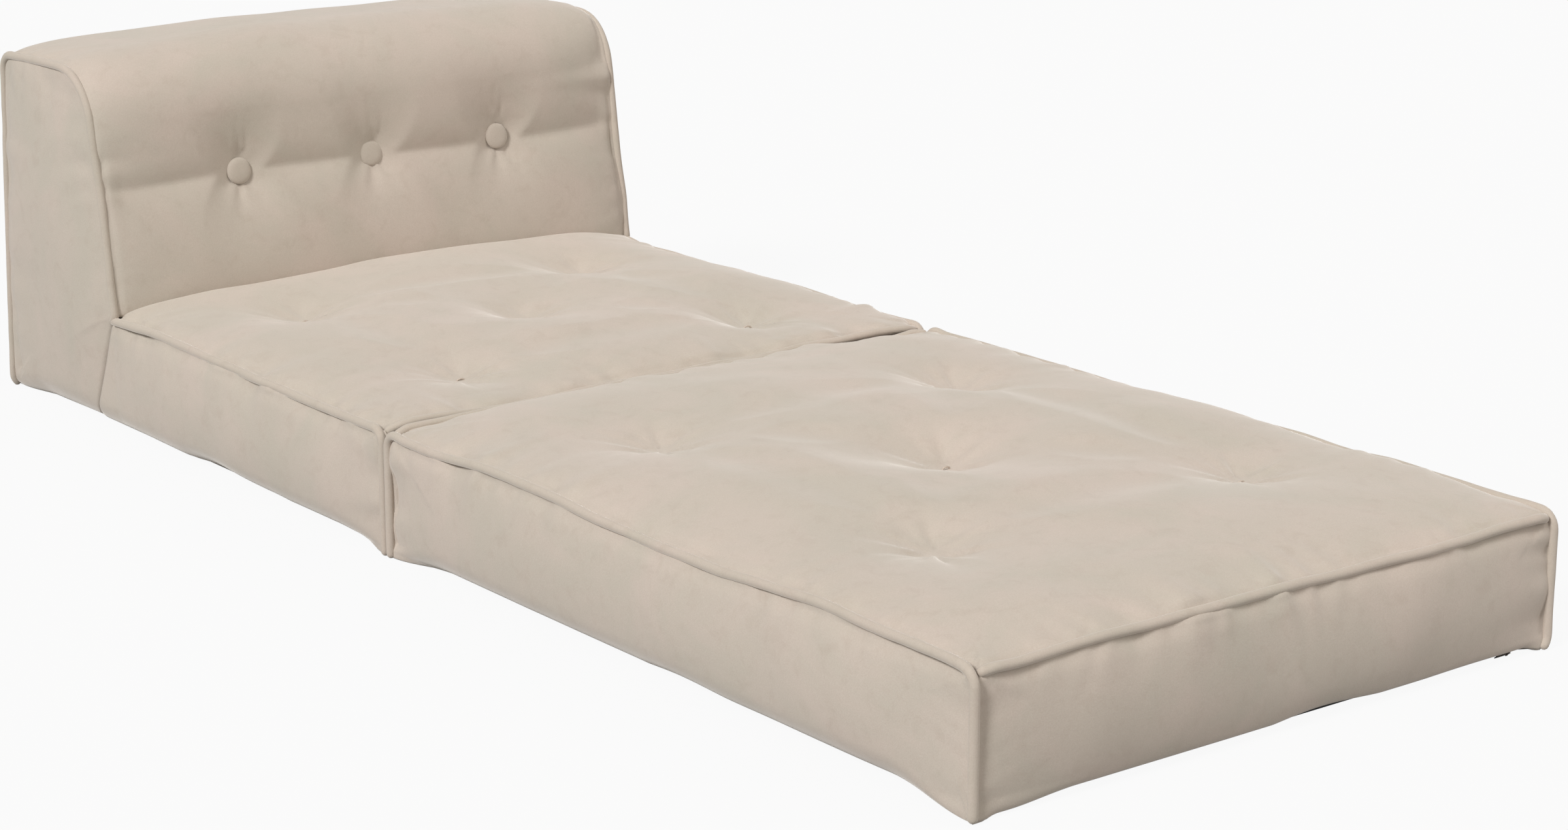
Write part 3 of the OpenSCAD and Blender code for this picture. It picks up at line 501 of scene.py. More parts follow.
def side_panel(front_edge, rear_edge, top_edge, side, ends, seed, leaning):
    """A side panel: rows from the floor up, columns from the front to the rear.

    Its base is the straight blend of the two corner lines. Further in, the rows take the tucked
    profile, lobes at the low edge, and the bulge with its lumps; the upper ones are moved by the
    cube of their height's share, so that the last meets the top seam. A leaning one ends in the
    plain seam beside the backrest.
    """
    s = crowded(len(top_edge) - 1)[None, :, None]
    rear_base = rear_edge * (0, 1, 1) + (side * HALF, 0, 0) if leaning else rear_edge
    grid = front_edge[:, None] * (1 - s) + rear_base[:, None] * s
    mid_out, mid_z = (rows[::-1] for rows in tucked_profile())
    y = grid[..., 1]
    to_front, to_rear = y - front_edge[:, None, 1], rear_edge[:, None, 1] - y
    high_blend, low_blend = smooth(to_front / SIDE_FRONT_REACH), smooth(to_front / LOW_REACH)
    if not leaning:
        high_blend = high_blend * smooth(to_rear / SIDE_REAR_REACH)
        low_blend = low_blend * smooth(to_rear / LOW_REACH)
    low = low_share(mid_z)
    blend = high_blend * (1 - low) + low_blend * low
    z = grid[..., 2] * (1 - blend) + mid_z[:, None] * blend
    lobes = line_waves(y, SIDE_LOBES, (seed + side, seed + 4))
    z = np.maximum(z + hem_lift(lobes, mid_z, SIDE_HEM) * blend, LEAST_Z)
    lumps = line_waves(y, SIDE_LUMPS, (seed + 6 + side, seed + 8 + side))
    span = np.clip((y - ends[0]) / (ends[1] - ends[0]), 0, 1)
    outward = (mid_out[:, None] * blend
               + (SIDE_BULGE + lumps) * swell(mid_z)[:, None] * bulge_share(span)
               - seam_dip(SECTION_H - mid_z, SIDE_SEAM_DIP)[:, None] * blend)
    corner_x = (grid[..., 0] - side * HALF) * (1 - blend)
    grid = np.stack([side * (HALF + outward) + corner_x, y, z], axis=2)
    upper = (np.clip(mid_z / SECTION_H, 0, 1) ** 3)[:, None, None]
    grid = grid + upper * (top_edge - grid[-1])
    grid[-1] = top_edge
    grid[:, 0], grid[:, -1] = front_edge, rear_edge
    return grid


def box_section(y0, y1, top_rows, top_z, seed, front, rear=None):
    """The belt and the two sides of a section's cushion.

    front and rear hold the bulge, whether a zip's lip ends the wall, and the seed of its sway.
    Without rear, the seat's plain rear wall stands there, which has no corner cord. top_z(x, y) is
    the crowned top's rise over its seams.
    """
    x = seam_columns()
    edge_share = np.exp(-(HALF - np.abs(x)) / CORNER_FADE)
    front_wall = end_panel(x, y0, -1, *front)
    rear_wall = end_panel(x, y1, 1, *rear) if rear else seat_rear(x)
    first, last = front_wall[0], rear_wall[0]
    y = first[:, 1] + (last[:, 1] - first[:, 1]) * crowded(top_rows)[:, None]
    side_x, side_z = 0, 0
    for side in (-1, 1):
        to_side = np.abs(x - side * HALF)
        sway, rise = side_sway(y, side, y0, y1)
        side_x = side_x + np.exp(-to_side / SWAY_FADE) * sway
        side_z = side_z + np.exp(-to_side / SEAM_FADE) * rise
    corner_drop, rear_fall = drop(y - y0, BEND_R), 0
    if rear:
        corner_drop, rear_fall = corner_drop + drop(y1 - y, BEND_R), CORNER_FALL * edge_share
    seam_z = ((first[:, 2] - SECTION_H + CORNER_FALL * edge_share) * np.exp(-(y - y0) / SEAM_FADE)
              + (last[:, 2] - SECTION_H + rear_fall) * np.exp(-(y1 - y) / SEAM_FADE))
    z = SECTION_H + seam_z + side_z - corner_drop * edge_share + top_z(x + 0 * y, y)
    top = np.stack([x + side_x, y, z], axis=2)
    top[0], top[-1] = first, last
    belt = np.vstack([front_wall[::-1], top[1:-1], rear_wall])
    left, right = [side_panel(front_wall[::-1, column], rear_wall[::-1, column], top[:, column],
                              side, (y0, y1), seed, rear is None) for column, side in ((0, -1), (-1, 1))]
    return belt, left, right


def tufted(tufts, y0, y1, rear_round=0.0):
    """A crowned top's rise over its seams: a puffed dome less a dish round each tuft.

    With rear_round, the end against the backrest stays full and turns down in a quarter circle.
    """
    def share_along(y):
        """Share of the crown from the front to the rear."""
        s = np.clip((y - y0) / (y1 - y0), 0, 1)
        if not rear_round:
            return puff(s)
        full = np.where(s < 0.5, puff(s), 1.0) * (1 - SEAT_REAR_SINK * smooth((s - 0.45) / 0.5))
        left = np.clip((y1 - y) / rear_round, 0, 1)
        return full * np.sqrt(1 - (1 - left) ** 2)

    def dome(x, y):
        """The crown's height, a product of its shares across and along."""
        return CROWN * puff(0.5 + x / (2 * HALF)) * share_along(y)

    def slack(x, y, start, end):
        """A shallow valley from tuft to tuft: a bell across, and less deep by a sine half way along."""
        (ax, ay), (bx, by) = start, end
        length = math.hypot(bx - ax, by - ay)
        t = np.clip(((x - ax) * (bx - ax) + (y - ay) * (by - ay)) / length ** 2, 0, 1)
        off = np.hypot(x - ax - t * (bx - ax), y - ay - t * (by - ay))
        return (SLACK_DEPTH - SLACK_RISE * np.sin(np.pi * t)) * bell(off, SLACK_WIDTH)

    def top_z(x, y):
        """The dome, its soft waves, and the deepest of the dishes and valleys taken off."""
        z = dome(x, y)
        soft = waves(np.stack([x, y], -1) + 4000, TOP_SOFT, (31, 32))
        dip = 0
        for tx, ty in tufts:
            depth = dome(np.array(tx), np.array(ty)) - (TUFT_Z - SECTION_H)
            dip = np.maximum(dip, depth * hollow(np.hypot(x - tx, y - ty), TUFT_DISH_R))
        for start, end in itertools.combinations(tufts, 2):
            if math.dist(start, end) <= SLACK_SPAN:
                dip = np.maximum(dip, slack(x, y, start, end))
        return z + soft * z / CROWN - dip * np.clip(z / (0.5 * CROWN), 0, 1)
    return top_z


# The backrest: its front, top and rear in one belt

def front_line(z):
    """The y of the backrest's leaning front at height z."""
    return SEAT_DEPTH + (z - SECTION_H) * FRONT_SLOPE


def rear_line(z):
    """The y of the backrest's rear at height z."""
    return SEAT_DEPTH + BACK_DEPTH - z * REAR_SLOPE


def toe_line(z):
    """The y of the plain seam between the seat and the backrest, which runs back towards the floor."""
    return SEAT_DEPTH + TOE_START + TOE_RUN * (1 - z / SECTION_H)


FRONT_BEND = (front_line(BACK_H - FRONT_R) + FRONT_R / math.cos(math.radians(FRONT_LEAN)), BACK_H - FRONT_R)
REAR_BEND = (rear_line(BACK_H - REAR_R) - REAR_R / math.cos(math.radians(REAR_LEAN)), BACK_H - REAR_R)


def seat_rear(x):
    """The seat's rear wall, which leans on the backrest's toe."""
    out, z = tucked_profile()
    rows = (x / HALF * (HALF + out[:, None]), (toe_line(z) - SOFT_GAP)[:, None], z[:, None])
    return np.stack(np.broadcast_arrays(*rows), axis=2)


def arc_rows(centre, r, start, end, steps):
    """Rows of y, z and outward angle round a bend, in degrees from the rear."""
    angle = np.linspace(start, end, steps + 1)
    a = np.radians(angle)
    return np.stack([centre[0] + r * np.cos(a), centre[1] + r * np.sin(a), angle], axis=1)


def straight_rows(y, z, angle):
    """Rows of y, z and outward angle on a straight stretch."""
    return np.stack(np.broadcast_arrays(y, z, float(angle)), axis=1)


def backrest_outline():
    """The side view's front, top and rear lines as y, z and outward angle.

    The front and the rear have as many rows as each other. They meet the top in the middle of the
    two bends.
    """
    facing = 180 - FRONT_LEAN
    toe_z = np.linspace(WALL_FOOT, SECTION_H, TOE_ROWS + 1)
    face_top = FRONT_BEND[1] + FRONT_R * math.sin(math.radians(FRONT_LEAN))
    face_z = np.linspace(SECTION_H, face_top, FACE_ROWS + 1)[1:]
    front = np.vstack([straight_rows(toe_line(toe_z) + SOFT_GAP, toe_z, 180),
                       straight_rows(front_line(face_z), face_z, facing),
                       arc_rows(FRONT_BEND, FRONT_R, facing, 135, 4)[1:]])
    flat_y = np.linspace(FRONT_BEND[0], REAR_BEND[0], FLAT_ROWS + 1)[1:-1]
    top = np.vstack([arc_rows(FRONT_BEND, FRONT_R, 135, 90, 5), straight_rows(flat_y, BACK_H, 90),
                     arc_rows(REAR_BEND, REAR_R, 90, 45, 3)])
    turn = arc_rows(REAR_BEND, REAR_R, 45, REAR_LEAN, 3)
    down = len(front) - len(turn) - LIP_ROWS
    wall_z = np.linspace(turn[-1, 1], LIP_TOP, down + 1)[1:]
    lip = along(LIP, LIP_ROWS)[1:]
    rear = np.vstack([turn, straight_rows(rear_line(wall_z), wall_z, REAR_LEAN),
                      straight_rows(rear_line(0) + lip[:, 0], lip[:, 1], 0)])
    return front, top, rear


def face_rise(x, run, start, end):
    """How far the front and the top stand out of the outline between two runs along it.

    A crown with soft waves, less a valley across the row of buttons and a dish round each button.
    """
    u = 0.5 + x / (2 * HALF)
    button_run = start + (BUTTON_Z - SECTION_H) / math.cos(math.radians(FRONT_LEAN))
    share = np.clip((run - start) / (end - start), 0, 1)
    crown = BACK_CROWN * puff(u, 4.5, 0.55) * puff(share, 5.0, 0.5) * (run > start) * (run < end)
    place = np.stack(np.broadcast_arrays(x, run), -1) + 3000
    soft = waves(place, BACK_SOFT, (51, 52)) * crown / BACK_CROWN
    off = run - button_run + line_waves(x, VALLEY_WANDER, (55,))
    valley = VALLEY * np.exp(-np.abs(off / VALLEY_WIDTH) ** 1.2) + WIDE_VALLEY * bell(off, WIDE_VALLEY_WIDTH)
    dip = valley * puff(u, 5.0, 0.5)
    for button_x in BUTTON_XS:
        d = np.hypot(x - button_x, 1.1 * (run - button_run))
        dip = np.maximum(dip, (BACK_CROWN - BUTTON_SEAT) * hollow(d, BUTTON_DISH_R))
    return crown + soft - dip * np.clip(crown / (0.5 * BACK_CROWN), 0, 1)


def rear_rise(x, run, z, seam_run):
    """How far the rear stands out of the outline below its seam: a sine of its height's share."""
    wall_share = (run > seam_run) * np.clip((z - BACK_FOOT) / REAR_FOOT_FADE, 0, 1)
    share = np.clip((z - REAR_FOOT) / (REAR_BEND[1] - REAR_FOOT), 0, 1)
    bulge = REAR_BULGE * np.sin(np.pi * share) ** 0.9 * wall_share * bulge_share(0.5 + x / (2 * HALF))
    return bulge - seam_dip(run - seam_run) * corner_blend(x, CORNER_REACH)


def backrest_side(line, last_front, last_top, side):
    """A side panel of the backrest: a Coons grid between the belt's edge and a straight bottom.

    The bulge is a sine of the height's share; the tuck at the floor blends from the toe's radius to
    the rear corner's.
    """
    up, over, down = line[:last_front + 1], line[last_front:last_top + 1], line[last_top:][::-1]
    plain_up, plain_down = up.copy(), down.copy()
    plain_up[:, 0] += side * drop(up[:, 2], TUCK_R)
    plain_down[:, 0] += side * drop(down[:, 2], SIDE_TUCK)
    s = np.linspace(0, 1, len(over))
    bottom = plain_up[0] + (plain_down[0] - plain_up[0]) * s[:, None]
    grid = coons(bottom, over, plain_up, plain_down)
    z = grid[..., 2]
    depth = grid[:, -1:, 1] - grid[:, :1, 1]
    off_rear = smooth((1 - s) * depth / BACK_REAR_REACH)
    off_front = smooth(s * depth / BACK_FRONT_REACH)
    tuck = drop(z, TUCK_R) * off_rear + drop(z, SIDE_TUCK) * (1 - off_rear)
    share = np.clip((z - BACK_FOOT) / (BACK_H - BACK_FOOT), 0, 1)
    bulge = BACK_SIDE_BULGE * np.sin(np.pi * share) ** 0.7 * puff(s, 3.0, 0.8)
    lumps = waves(grid[..., 1:] + 2000, BACK_LUMPS, (75 + side,)) * off_rear * off_front
    grid[..., 0] += side * (bulge + lumps * np.clip(share * 4, 0, 1) - tuck)
    grid[:, 0], grid[:, -1], grid[-1] = up, down, over
    return grid


def backrest_section():
    """The belt and the two sides of the backrest's cushion."""
    front, top, rear = backrest_outline()
    path = np.vstack([front, top[1:-1], rear])
    last_front, last_top = len(front) - 1, len(front) + len(top) - 2
    x = seam_columns()
    run = run_of(path[:, :2])[:, None]
    start, seam_run = run[TOE_ROWS, 0], run[last_top + REAR_SEAM_ROW, 0]
    rise = face_rise(x, run, start, seam_run) + rear_rise(x, run, path[:, 1:2], seam_run)
    angle = np.radians(path[:, 2:])
    y = path[:, :1] + rise * np.cos(angle)
    z = path[:, 1:2] + rise * np.sin(angle)
    # The rear's low edge joins the corner cords' straight lines at its ends.
    plain_out, plain_z = lip_corner()
    count = len(plain_z)
    inner = corner_blend(x, CORNER_REACH)
    y[-count:] = y[-count:] * inner + (rear_line(plain_z) + plain_out)[:, None] * (1 - inner)
    z[-count:] = z[-count:] * inner + plain_z[:, None] * (1 - inner)
    z = np.maximum(z, LEAST_Z)
    still_start, still_end, reach = 20, 120, 60.0
    window = end_window(run, start + still_start, seam_run + still_end, reach)
    side_x, side_out = 0, 0
    for side in (-1, 1):
        to_side = np.abs(x - side * HALF)
        sway = window * line_waves(run, BACK_SWAY, (61 + side, 64 + side))
        lift = window * line_waves(run, BACK_RISE, (67 + side, 70 + side))
        side_x = side_x + np.exp(-to_side / BACK_SWAY_FADE) * sway
        side_out = side_out + np.exp(-to_side / BACK_SEAM_FADE) * lift
    half = np.full((len(path), 1), HALF)
    half[-count:, 0] -= drop(plain_z, SIDE_TUCK)
    half[:TOE_ROWS, 0] -= drop(path[:TOE_ROWS, 1], TUCK_R)
    y = y + side_out * np.cos(angle)
    z = z + side_out * np.sin(angle)
    belt = np.stack([x / HALF * half + side_x, y, z], axis=2)
    left, right = [backrest_side(belt[:, column], last_front, last_top, side)
                   for column, side in ((0, -1), (-1, 1))]
    return belt, left, right


FOOT_ENDS = (-FOOT_LENGTH, -SEAM_PLANE)
SEAT_ENDS = (SEAM_PLANE, toe_line(SECTION_H) - SOFT_GAP)
foot_grids = box_section(*FOOT_ENDS, FOOT_TOP_ROWS, tufted(FOOT_TUFTS, *FOOT_ENDS), 200,
                         (END_BULGE, True, 101), (FOLD_BULGE, False, 121))
seat_grids = box_section(*SEAT_ENDS, SEAT_TOP_ROWS, tufted(SEAT_TUFTS, *SEAT_ENDS, SEAT_REAR_ROUND), 220,
                         (FOLD_BULGE, False, 141))
back_grids = backrest_section()
foot_cushion = closed_box("foot_cushion", *foot_grids)
seat_cushion = closed_box("seat_cushion", *seat_grids)
backrest_cushion = closed_box("backrest_cushion", *back_grids)


# The gathers beside the seams and the creases round the tufts

GATHERS = ((0.8, 15), (1.5, 27), (1.3, 52))
GATHER_HEIGHT, GATHER_REACH = 1.7, 34.0
CORD_EDGE = 5.0
GROOVE_DEPTH, GROOVE_PLACE, GROOVE_WIDTH = 2.4, 7.5, 3.6
SOFTNESS, SOFT_PARTS, SOFT_REACH = 0.9, ((0.8, 60), (1.2, 130)), 40.0
FLOOR_CLEAR, FLOOR_FADE = 9.0, 12.0
CREASES, CREASE_HEIGHT, CREASE_START, TUFT_PIT = ((1.0, 4.0), (0.6, 1.9)), 0.028, 22.0, 5.0


def box_field(points, y0, y1):
    """Each point's distance to a section's nearest seam, and the run along that seam.

    Each seam's run starts at its own far place, so that no two seams gather alike.
    """
    x, y, z = points.T
    to_side, to_front, to_rear = HALF - np.abs(x), y - y0, y1 - y
    to_top = np.where(z < SECTION_H, 1.6 * (SECTION_H - z), 0.25 * (z - SECTION_H))
    right = x > 0
    gaps = np.stack([np.hypot(to_side, to_top), np.hypot(to_front, to_top), np.hypot(to_side, to_front),
                     np.hypot(to_rear, to_top), np.hypot(to_side, to_rear)])
    runs = np.stack([y + 2000 * right, x + 5000, z + 7000 + 1000 * right, x + 9000, z + 11000 + 1000 * right])
    least = gaps.argmin(axis=0)
    pick = np.arange(len(least))
    return gaps[least, pick], runs[least, pick]


def back_field(points):
    """Each point's distance to the backrest's side seams, and the run along its outline."""
    front, top, rear = backrest_outline()
    outline = np.vstack([front[TOE_ROWS:], top[1:-1], rear])[:, :2]
    x, y, z = points.T
    best, run = np.full(len(points), 1e9), np.zeros(len(points))
    for (y0, z0), (dy, dz), first in zip(outline[:-1], np.diff(outline, axis=0), run_of(outline)):
        length = math.hypot(dy, dz)
        t = np.clip(((y - y0) * dy + (z - z0) * dz) / length ** 2, 0, 1)
        off = np.hypot(y - y0 - t * dy, z - z0 - t * dz)
        closer = off < best
        best = np.where(closer, off, best)
        run = np.where(closer, first + t * length, run)
    return np.hypot(HALF - np.abs(x), np.maximum(0, best - 14)), run + 3000 * (x > 0)


def pucker(obj, field, seed, strength, tufts, tuft_reach):
    """Small gathers beside the seams and fine creases that run out from the tufts.

    The gathers are waves along the seam that fade with the distance to it, with a groove beside the
    cord; the creases are waves of the angle round a tuft, a bell of the distance high.
    """
    co, out = points_of(obj), normals_of(obj)
    distance, run = field(co)
    clump = smooth(0.5 + 0.9 * line_drift(run, 130, seed))
    slant = run + 0.35 * distance * line_drift(run, 90, seed + 1)
    gather = line_waves(slant, GATHERS, (seed + 2, seed + 3, seed + 4))
    rise = (GATHER_HEIGHT * strength * gather * (0.3 + clump) * np.exp(-distance / GATHER_REACH)
            * (1 - bell(distance, CORD_EDGE)))
    groove = smooth(0.6 + line_drift(run, 70, seed + 5)) * bell(distance - GROOVE_PLACE, GROOVE_WIDTH)
    rise = rise - GROOVE_DEPTH * groove * (distance < 30)
    soft = waves(co + 5000, SOFT_PARTS, (seed + 6, seed + 7))
    rise = rise + SOFTNESS * soft * smooth(distance / SOFT_REACH)
    for place in tufts:
        arm = co - np.asarray(place)
        d = np.linalg.norm(arm, axis=1)
        crease = line_waves(np.arctan2(arm[:, 1], arm[:, 0]) * 12, CREASES, (seed + 8, seed + 9))
        fade = bell(d - CREASE_START, tuft_reach / 2) * smooth((d - TUFT_PIT) / 14)
        rise = rise + CREASE_HEIGHT * tuft_reach * crease * fade
    rise = rise * smooth((co[:, 2] - FLOOR_CLEAR) / FLOOR_FADE)
    set_points(obj, co + out * rise[:, None])


pucker(foot_cushion, lambda co: box_field(co, *FOOT_ENDS), 300, 1.5,
       [(x, y, TUFT_Z) for x, y in FOOT_TUFTS], 95.0)
# The seat's rear end has no cord, so its end is set far off.
pucker(seat_cushion, lambda co: box_field(co, SEAM_PLANE, 4000.0), 320, 1.5,
       [(x, y, TUFT_Z) for x, y in SEAT_TUFTS], 95.0)
pucker(backrest_cushion, back_field, 340, 1.3, [(x, front_line(BUTTON_Z), BUTTON_Z) for x in BUTTON_XS], 60.0)


# Cords

CROSS_REACH = HALF - 2 * CORD_R + 0.6
CORD_END_Z = CORD_R + 0.8
CORD_STEP = 4.0


def seam_line(*stretches):
    """One line of points through grid edges that follow on from each other."""
    line = np.vstack(stretches)
    step = np.linalg.norm(np.diff(line, axis=0), axis=1)
    return line[np.concatenate([[True], step > 1e-6])]


def even(line, spacing=CORD_STEP):
    """The same line with its points at even distances."""
    return at_runs(line, max(2, int(run_of(line)[-1] / spacing)))


def tube_form(line, r=CORD_R, sides=14, seed=0):
    """Points and faces of a round cord along a line.

    Rings stand square to the line, their radius uneven by soft noise. At each end two smaller rings
    and a pole, at 30, 60 and 90 degrees of a half ball, round it off.
    """
    path = even(line)
    n = len(path)
    ahead = np.gradient(path, axis=0)
    ahead /= np.linalg.norm(ahead, axis=1)[:, None]
    plain = np.array([1.0, 0, 0]) if abs(ahead[n // 2, 0]) < 0.7 else np.array([0, 0, 1.0])
    one = plain - ahead * (ahead @ plain)[:, None]
    one /= np.linalg.norm(one, axis=1)[:, None]
    two = np.cross(ahead, one)
    a = np.linspace(0, 2 * np.pi, sides, endpoint=False)
    ring = one[:, None] * np.cos(a)[:, None] + two[:, None] * np.sin(a)[:, None]
    thick = r * (1 + line_waves(np.arange(n) * CORD_STEP, CORD_THICKNESS, (400 + seed, 401 + seed)))
    rings = path[:, None] + ring * thick[:, None, None]
    lean = np.radians([60, 30])[:, None, None]
    back, on = -ahead[0] * thick[0], ahead[-1] * thick[-1]
    start = path[0] + back * np.sin(lean) + ring[0] * thick[0] * np.cos(lean)
    end = path[-1] + on * np.sin(lean[::-1]) + ring[-1] * thick[-1] * np.cos(lean[::-1])
    rings = np.concatenate([start, rings, end])
    poles = [path[0] + back, path[-1] + on]
    count = len(rings)
    return np.vstack([rings.reshape(-1, 3), poles]), ring_quads(count, sides) + pole_faces(count, sides)


def foot_side_line(flank):
    """Up the front corner, along the top and down the rear corner."""
    return seam_line(flank[:, 0], flank[-1], flank[::-1, -1])


def long_side_line(seat_flank, back_flank):
    """Up the seat's front corner, along the seat, up and over the backrest and down its rear."""
    return seam_line(seat_flank[:, 0], seat_flank[-1],
                     back_flank[TOE_ROWS:, 0], back_flank[-1], back_flank[::-1, -1])


def side_cord(name, line, seed):
    """A side's cord, cut so that its rounded ends stay above the floor."""
    line = even(line, 1.0)
    return make_mesh(name, *tube_form(line[line[:, 2] > CORD_END_Z], seed=seed))


def cross_cord(name, seam, seed):
    """A cross cord whose ends are tucked in behind the side cords."""
    line = even(seam)
    return make_mesh(name, *tube_form(line[np.abs(line[:, 0]) < CROSS_REACH], seed=seed))


cords = [
    (side_cord("foot_left_cord", foot_side_line(foot_grids[1]), 1), "foot_section", ["foot_left_piping"]),
    (side_cord("foot_right_cord", foot_side_line(foot_grids[2]), 2), "foot_section", ["foot_right_piping"]),
    (cross_cord("foot_front_cord", foot_grids[0][SIDE_ROWS], 3), "foot_section",
     ["foot_front_piping", "foot_filler_cords"]),
    (cross_cord("foot_rear_cord", foot_grids[0][-1 - SIDE_ROWS], 4), "foot_section", ["foot_rear_piping"]),
    (cross_cord("seat_front_cord", seat_grids[0][SIDE_ROWS], 5), "seat_unit",
     ["seat_front_piping", "seat_filler_cords"]),
    (side_cord("left_long_cord", long_side_line(seat_grids[1], back_grids[1]), 6), "seat_unit",
     ["left_piping"]),
    (side_cord("right_long_cord", long_side_line(seat_grids[2], back_grids[2]), 7), "seat_unit",
     ["right_piping"])]


# Buttons, stitches, zip tapes, base cloths and the hinge strip

def joined(name, forms):
    """One object from several lists of points and faces."""
    points, faces, start = [], [], 0
    for co, some in forms:
        points.append(co)
        faces += [[k + start for k in face] for face in some]
        start += len(co)
    return make_mesh(name, np.vstack(points), faces)


def turned_form(profile, sides):
    """A closed form turned about +Z from (radius, height) rows, the first and last on the axis."""
    a = np.linspace(0, 2 * np.pi, sides, endpoint=False)
    radius, height = profile[1:-1, :1], profile[1:-1, 1:]
    rings = np.stack([radius * np.cos(a), radius * np.sin(a), height + 0 * a], axis=2)
    poles = [(0, 0, profile[0, 1]), (0, 0, profile[-1, 1])]
    count = len(rings)
    return np.vstack([rings.reshape(-1, 3), poles]), ring_quads(count, sides) + pole_faces(count, sides)


def button_forms():
    """Domes covered in the bed's fabric: a flat underside, then a cosine to a power on a sine's height."""
    rim_z, dome_h, clearance = 2.8, 4.0, 0.3
    a = np.radians(np.linspace(0, 90, 12))
    radius = np.append(BUTTON_R * np.cos(a[:-1]) ** 0.55, 0.0)
    underside = [(0, 0.4), (8.0, 0.4), (13.0, 0.6), (15.8, 1.2)]
    dome = np.column_stack([radius, rim_z + dome_h * np.sin(a)])
    co, faces = turned_form(np.vstack([underside, dome]), 48)
    c, s = math.cos(math.radians(FRONT_LEAN)), math.sin(math.radians(FRONT_LEAN))
    up, out = co[:, 1], co[:, 2] + BUTTON_SEAT + clearance
    y, z = front_line(BUTTON_Z) - out * c + up * s, BUTTON_Z + out * s + up * c
    return [(np.stack([co[:, 0] + button_x, y, z], axis=1), faces) for button_x in BUTTON_XS]


def stitch_forms(tufts):
    """A short stitch over each tuft, its ends drawn down into the cover."""
    twine_r, sides, steps = 1.0, 8, 14
    arch = [(-6, -5), (-4, 0.2), (0, 0.7), (4, 0.2), (6, -5)]
    return [tube_form(along([(x + across, y, TUFT_Z + up) for across, up in arch], steps), twine_r, sides)
            for x, y in tufts]


def slab_form(xs, rows):
    """A closed strip along x from a closed line of (y, z) rows."""
    n = len(rows)
    points = np.column_stack([np.repeat(xs, n), np.tile(rows, (len(xs), 1))])
    last = (len(xs) - 1) * n
    ends = [list(range(n))[::-1], list(range(last, last + n))]
    return points, ring_quads(len(xs), n) + ends


def zip_place(rear, along_face, level):
    """The y and z of a point of a zip, from its place along the zip's face and its level over it."""
    c, s = math.cos(ZIP_ANGLE), math.sin(ZIP_ANGLE)
    out = -TUCK_R + (TUCK_R + level) * c + along_face * s
    z = TUCK_R - (TUCK_R + level) * s + along_face * c
    return (rear_line(0) + out if rear else -FOOT_LENGTH - out), z


def tape_forms(rear):
    """A zip's two flat tapes, one on each side of its coils."""
    inner, outer, under, over = 0.9, 11.9, 0.35, 1.05
    forms = []
    for low, high in ((inner, outer), (-outer, -inner)):
        rows = [zip_place(rear, a, h) for a, h in ((low, under), (high, under), (high, over), (low, over))]
        points, faces = slab_form(np.linspace(-CLOTH_HALF, CLOTH_HALF, 60), rows)
        forms.append((points, [face[::-1] for face in faces] if rear else faces))
    return forms


def base_cloth(name, y0, y1):
    """A thin cloth under the cushions, slightly rippled on its upper side by soft noise."""
    columns, rows, under, over, ripple = 60, 70, 0.3, 1.7, 0.25
    x, y = np.meshgrid(np.linspace(-CLOTH_HALF, CLOTH_HALF, columns), np.linspace(y0, y1, rows))
    low = np.stack([x, y, under + 0 * x], axis=2)
    high = np.stack([x, y, over + ripple * drift(np.stack([x, y], -1) + 3000, 60, 88)], axis=2)
    points = np.concatenate([high.reshape(-1, 3), low.reshape(-1, 3)])
    n = columns * rows
    number = np.arange(n).reshape(rows, columns)
    rim = np.concatenate([number[0], number[1:, -1], number[-1, -2::-1], number[-2:0:-1, 0]])
    after = np.roll(rim, -1)
    walls = np.stack([rim, rim + n, after + n, after], axis=1)
    faces = np.vstack([grid_quads(rows, columns), grid_quads(rows, columns, True) + n, walls])
    return make_mesh(name, points, faces.tolist())


def hinge_form():
    """The fabric hinge: a flat strip under the fold seam, in narrow rows."""
    under, over = 0.15, 1.5
    line = np.linspace(-HINGE_REACH, HINGE_REACH, 33)
    rows = [(y, under) for y in line] + [(y, over) for y in line[::-1]]
    return slab_form(np.linspace(-HINGE_HALF, HINGE_HALF, 40), rows)


covered_buttons = joined("covered_buttons", button_forms())
foot_stitches = joined("foot_tuft_stitches", stitch_forms(FOOT_TUFTS))
seat_stitches = joined("seat_tuft_stitches", stitch_forms(SEAT_TUFTS))
foot_tapes = joined("foot_woven_tapes", tape_forms(False))
back_tapes = joined("back_woven_tapes", tape_forms(True))
foot_base = base_cloth("foot_base_cloth", -FOOT_LENGTH + CLOTH_INSET, -SEAM_PLANE - CLOTH_INSET)
seat_base = base_cloth("seat_base_cloth", SEAM_PLANE + CLOTH_INSET, rear_line(0) - CLOTH_INSET)
hinge_cloth = make_mesh("hinge_cloth", *hinge_form())


# Materials: node groups read Object coordinates, in metres

def settle(node, values):
    """Sets a node's sockets by their names."""
    for name, value in values.items():
        node.inputs[name].default_value = value


def new_material(name):
    """A material with an empty tree, its shader and its output."""
    made = bpy.data.materials.new(name)
    made.use_nodes = True
    tree = made.node_tree
    tree.nodes.clear()
    shader = tree.nodes.new("ShaderNodeBsdfPrincipled")
    output = tree.nodes.new("ShaderNodeOutputMaterial")
    tree.links.new(shader.outputs[0], output.inputs[0])
    return made, tree, shader


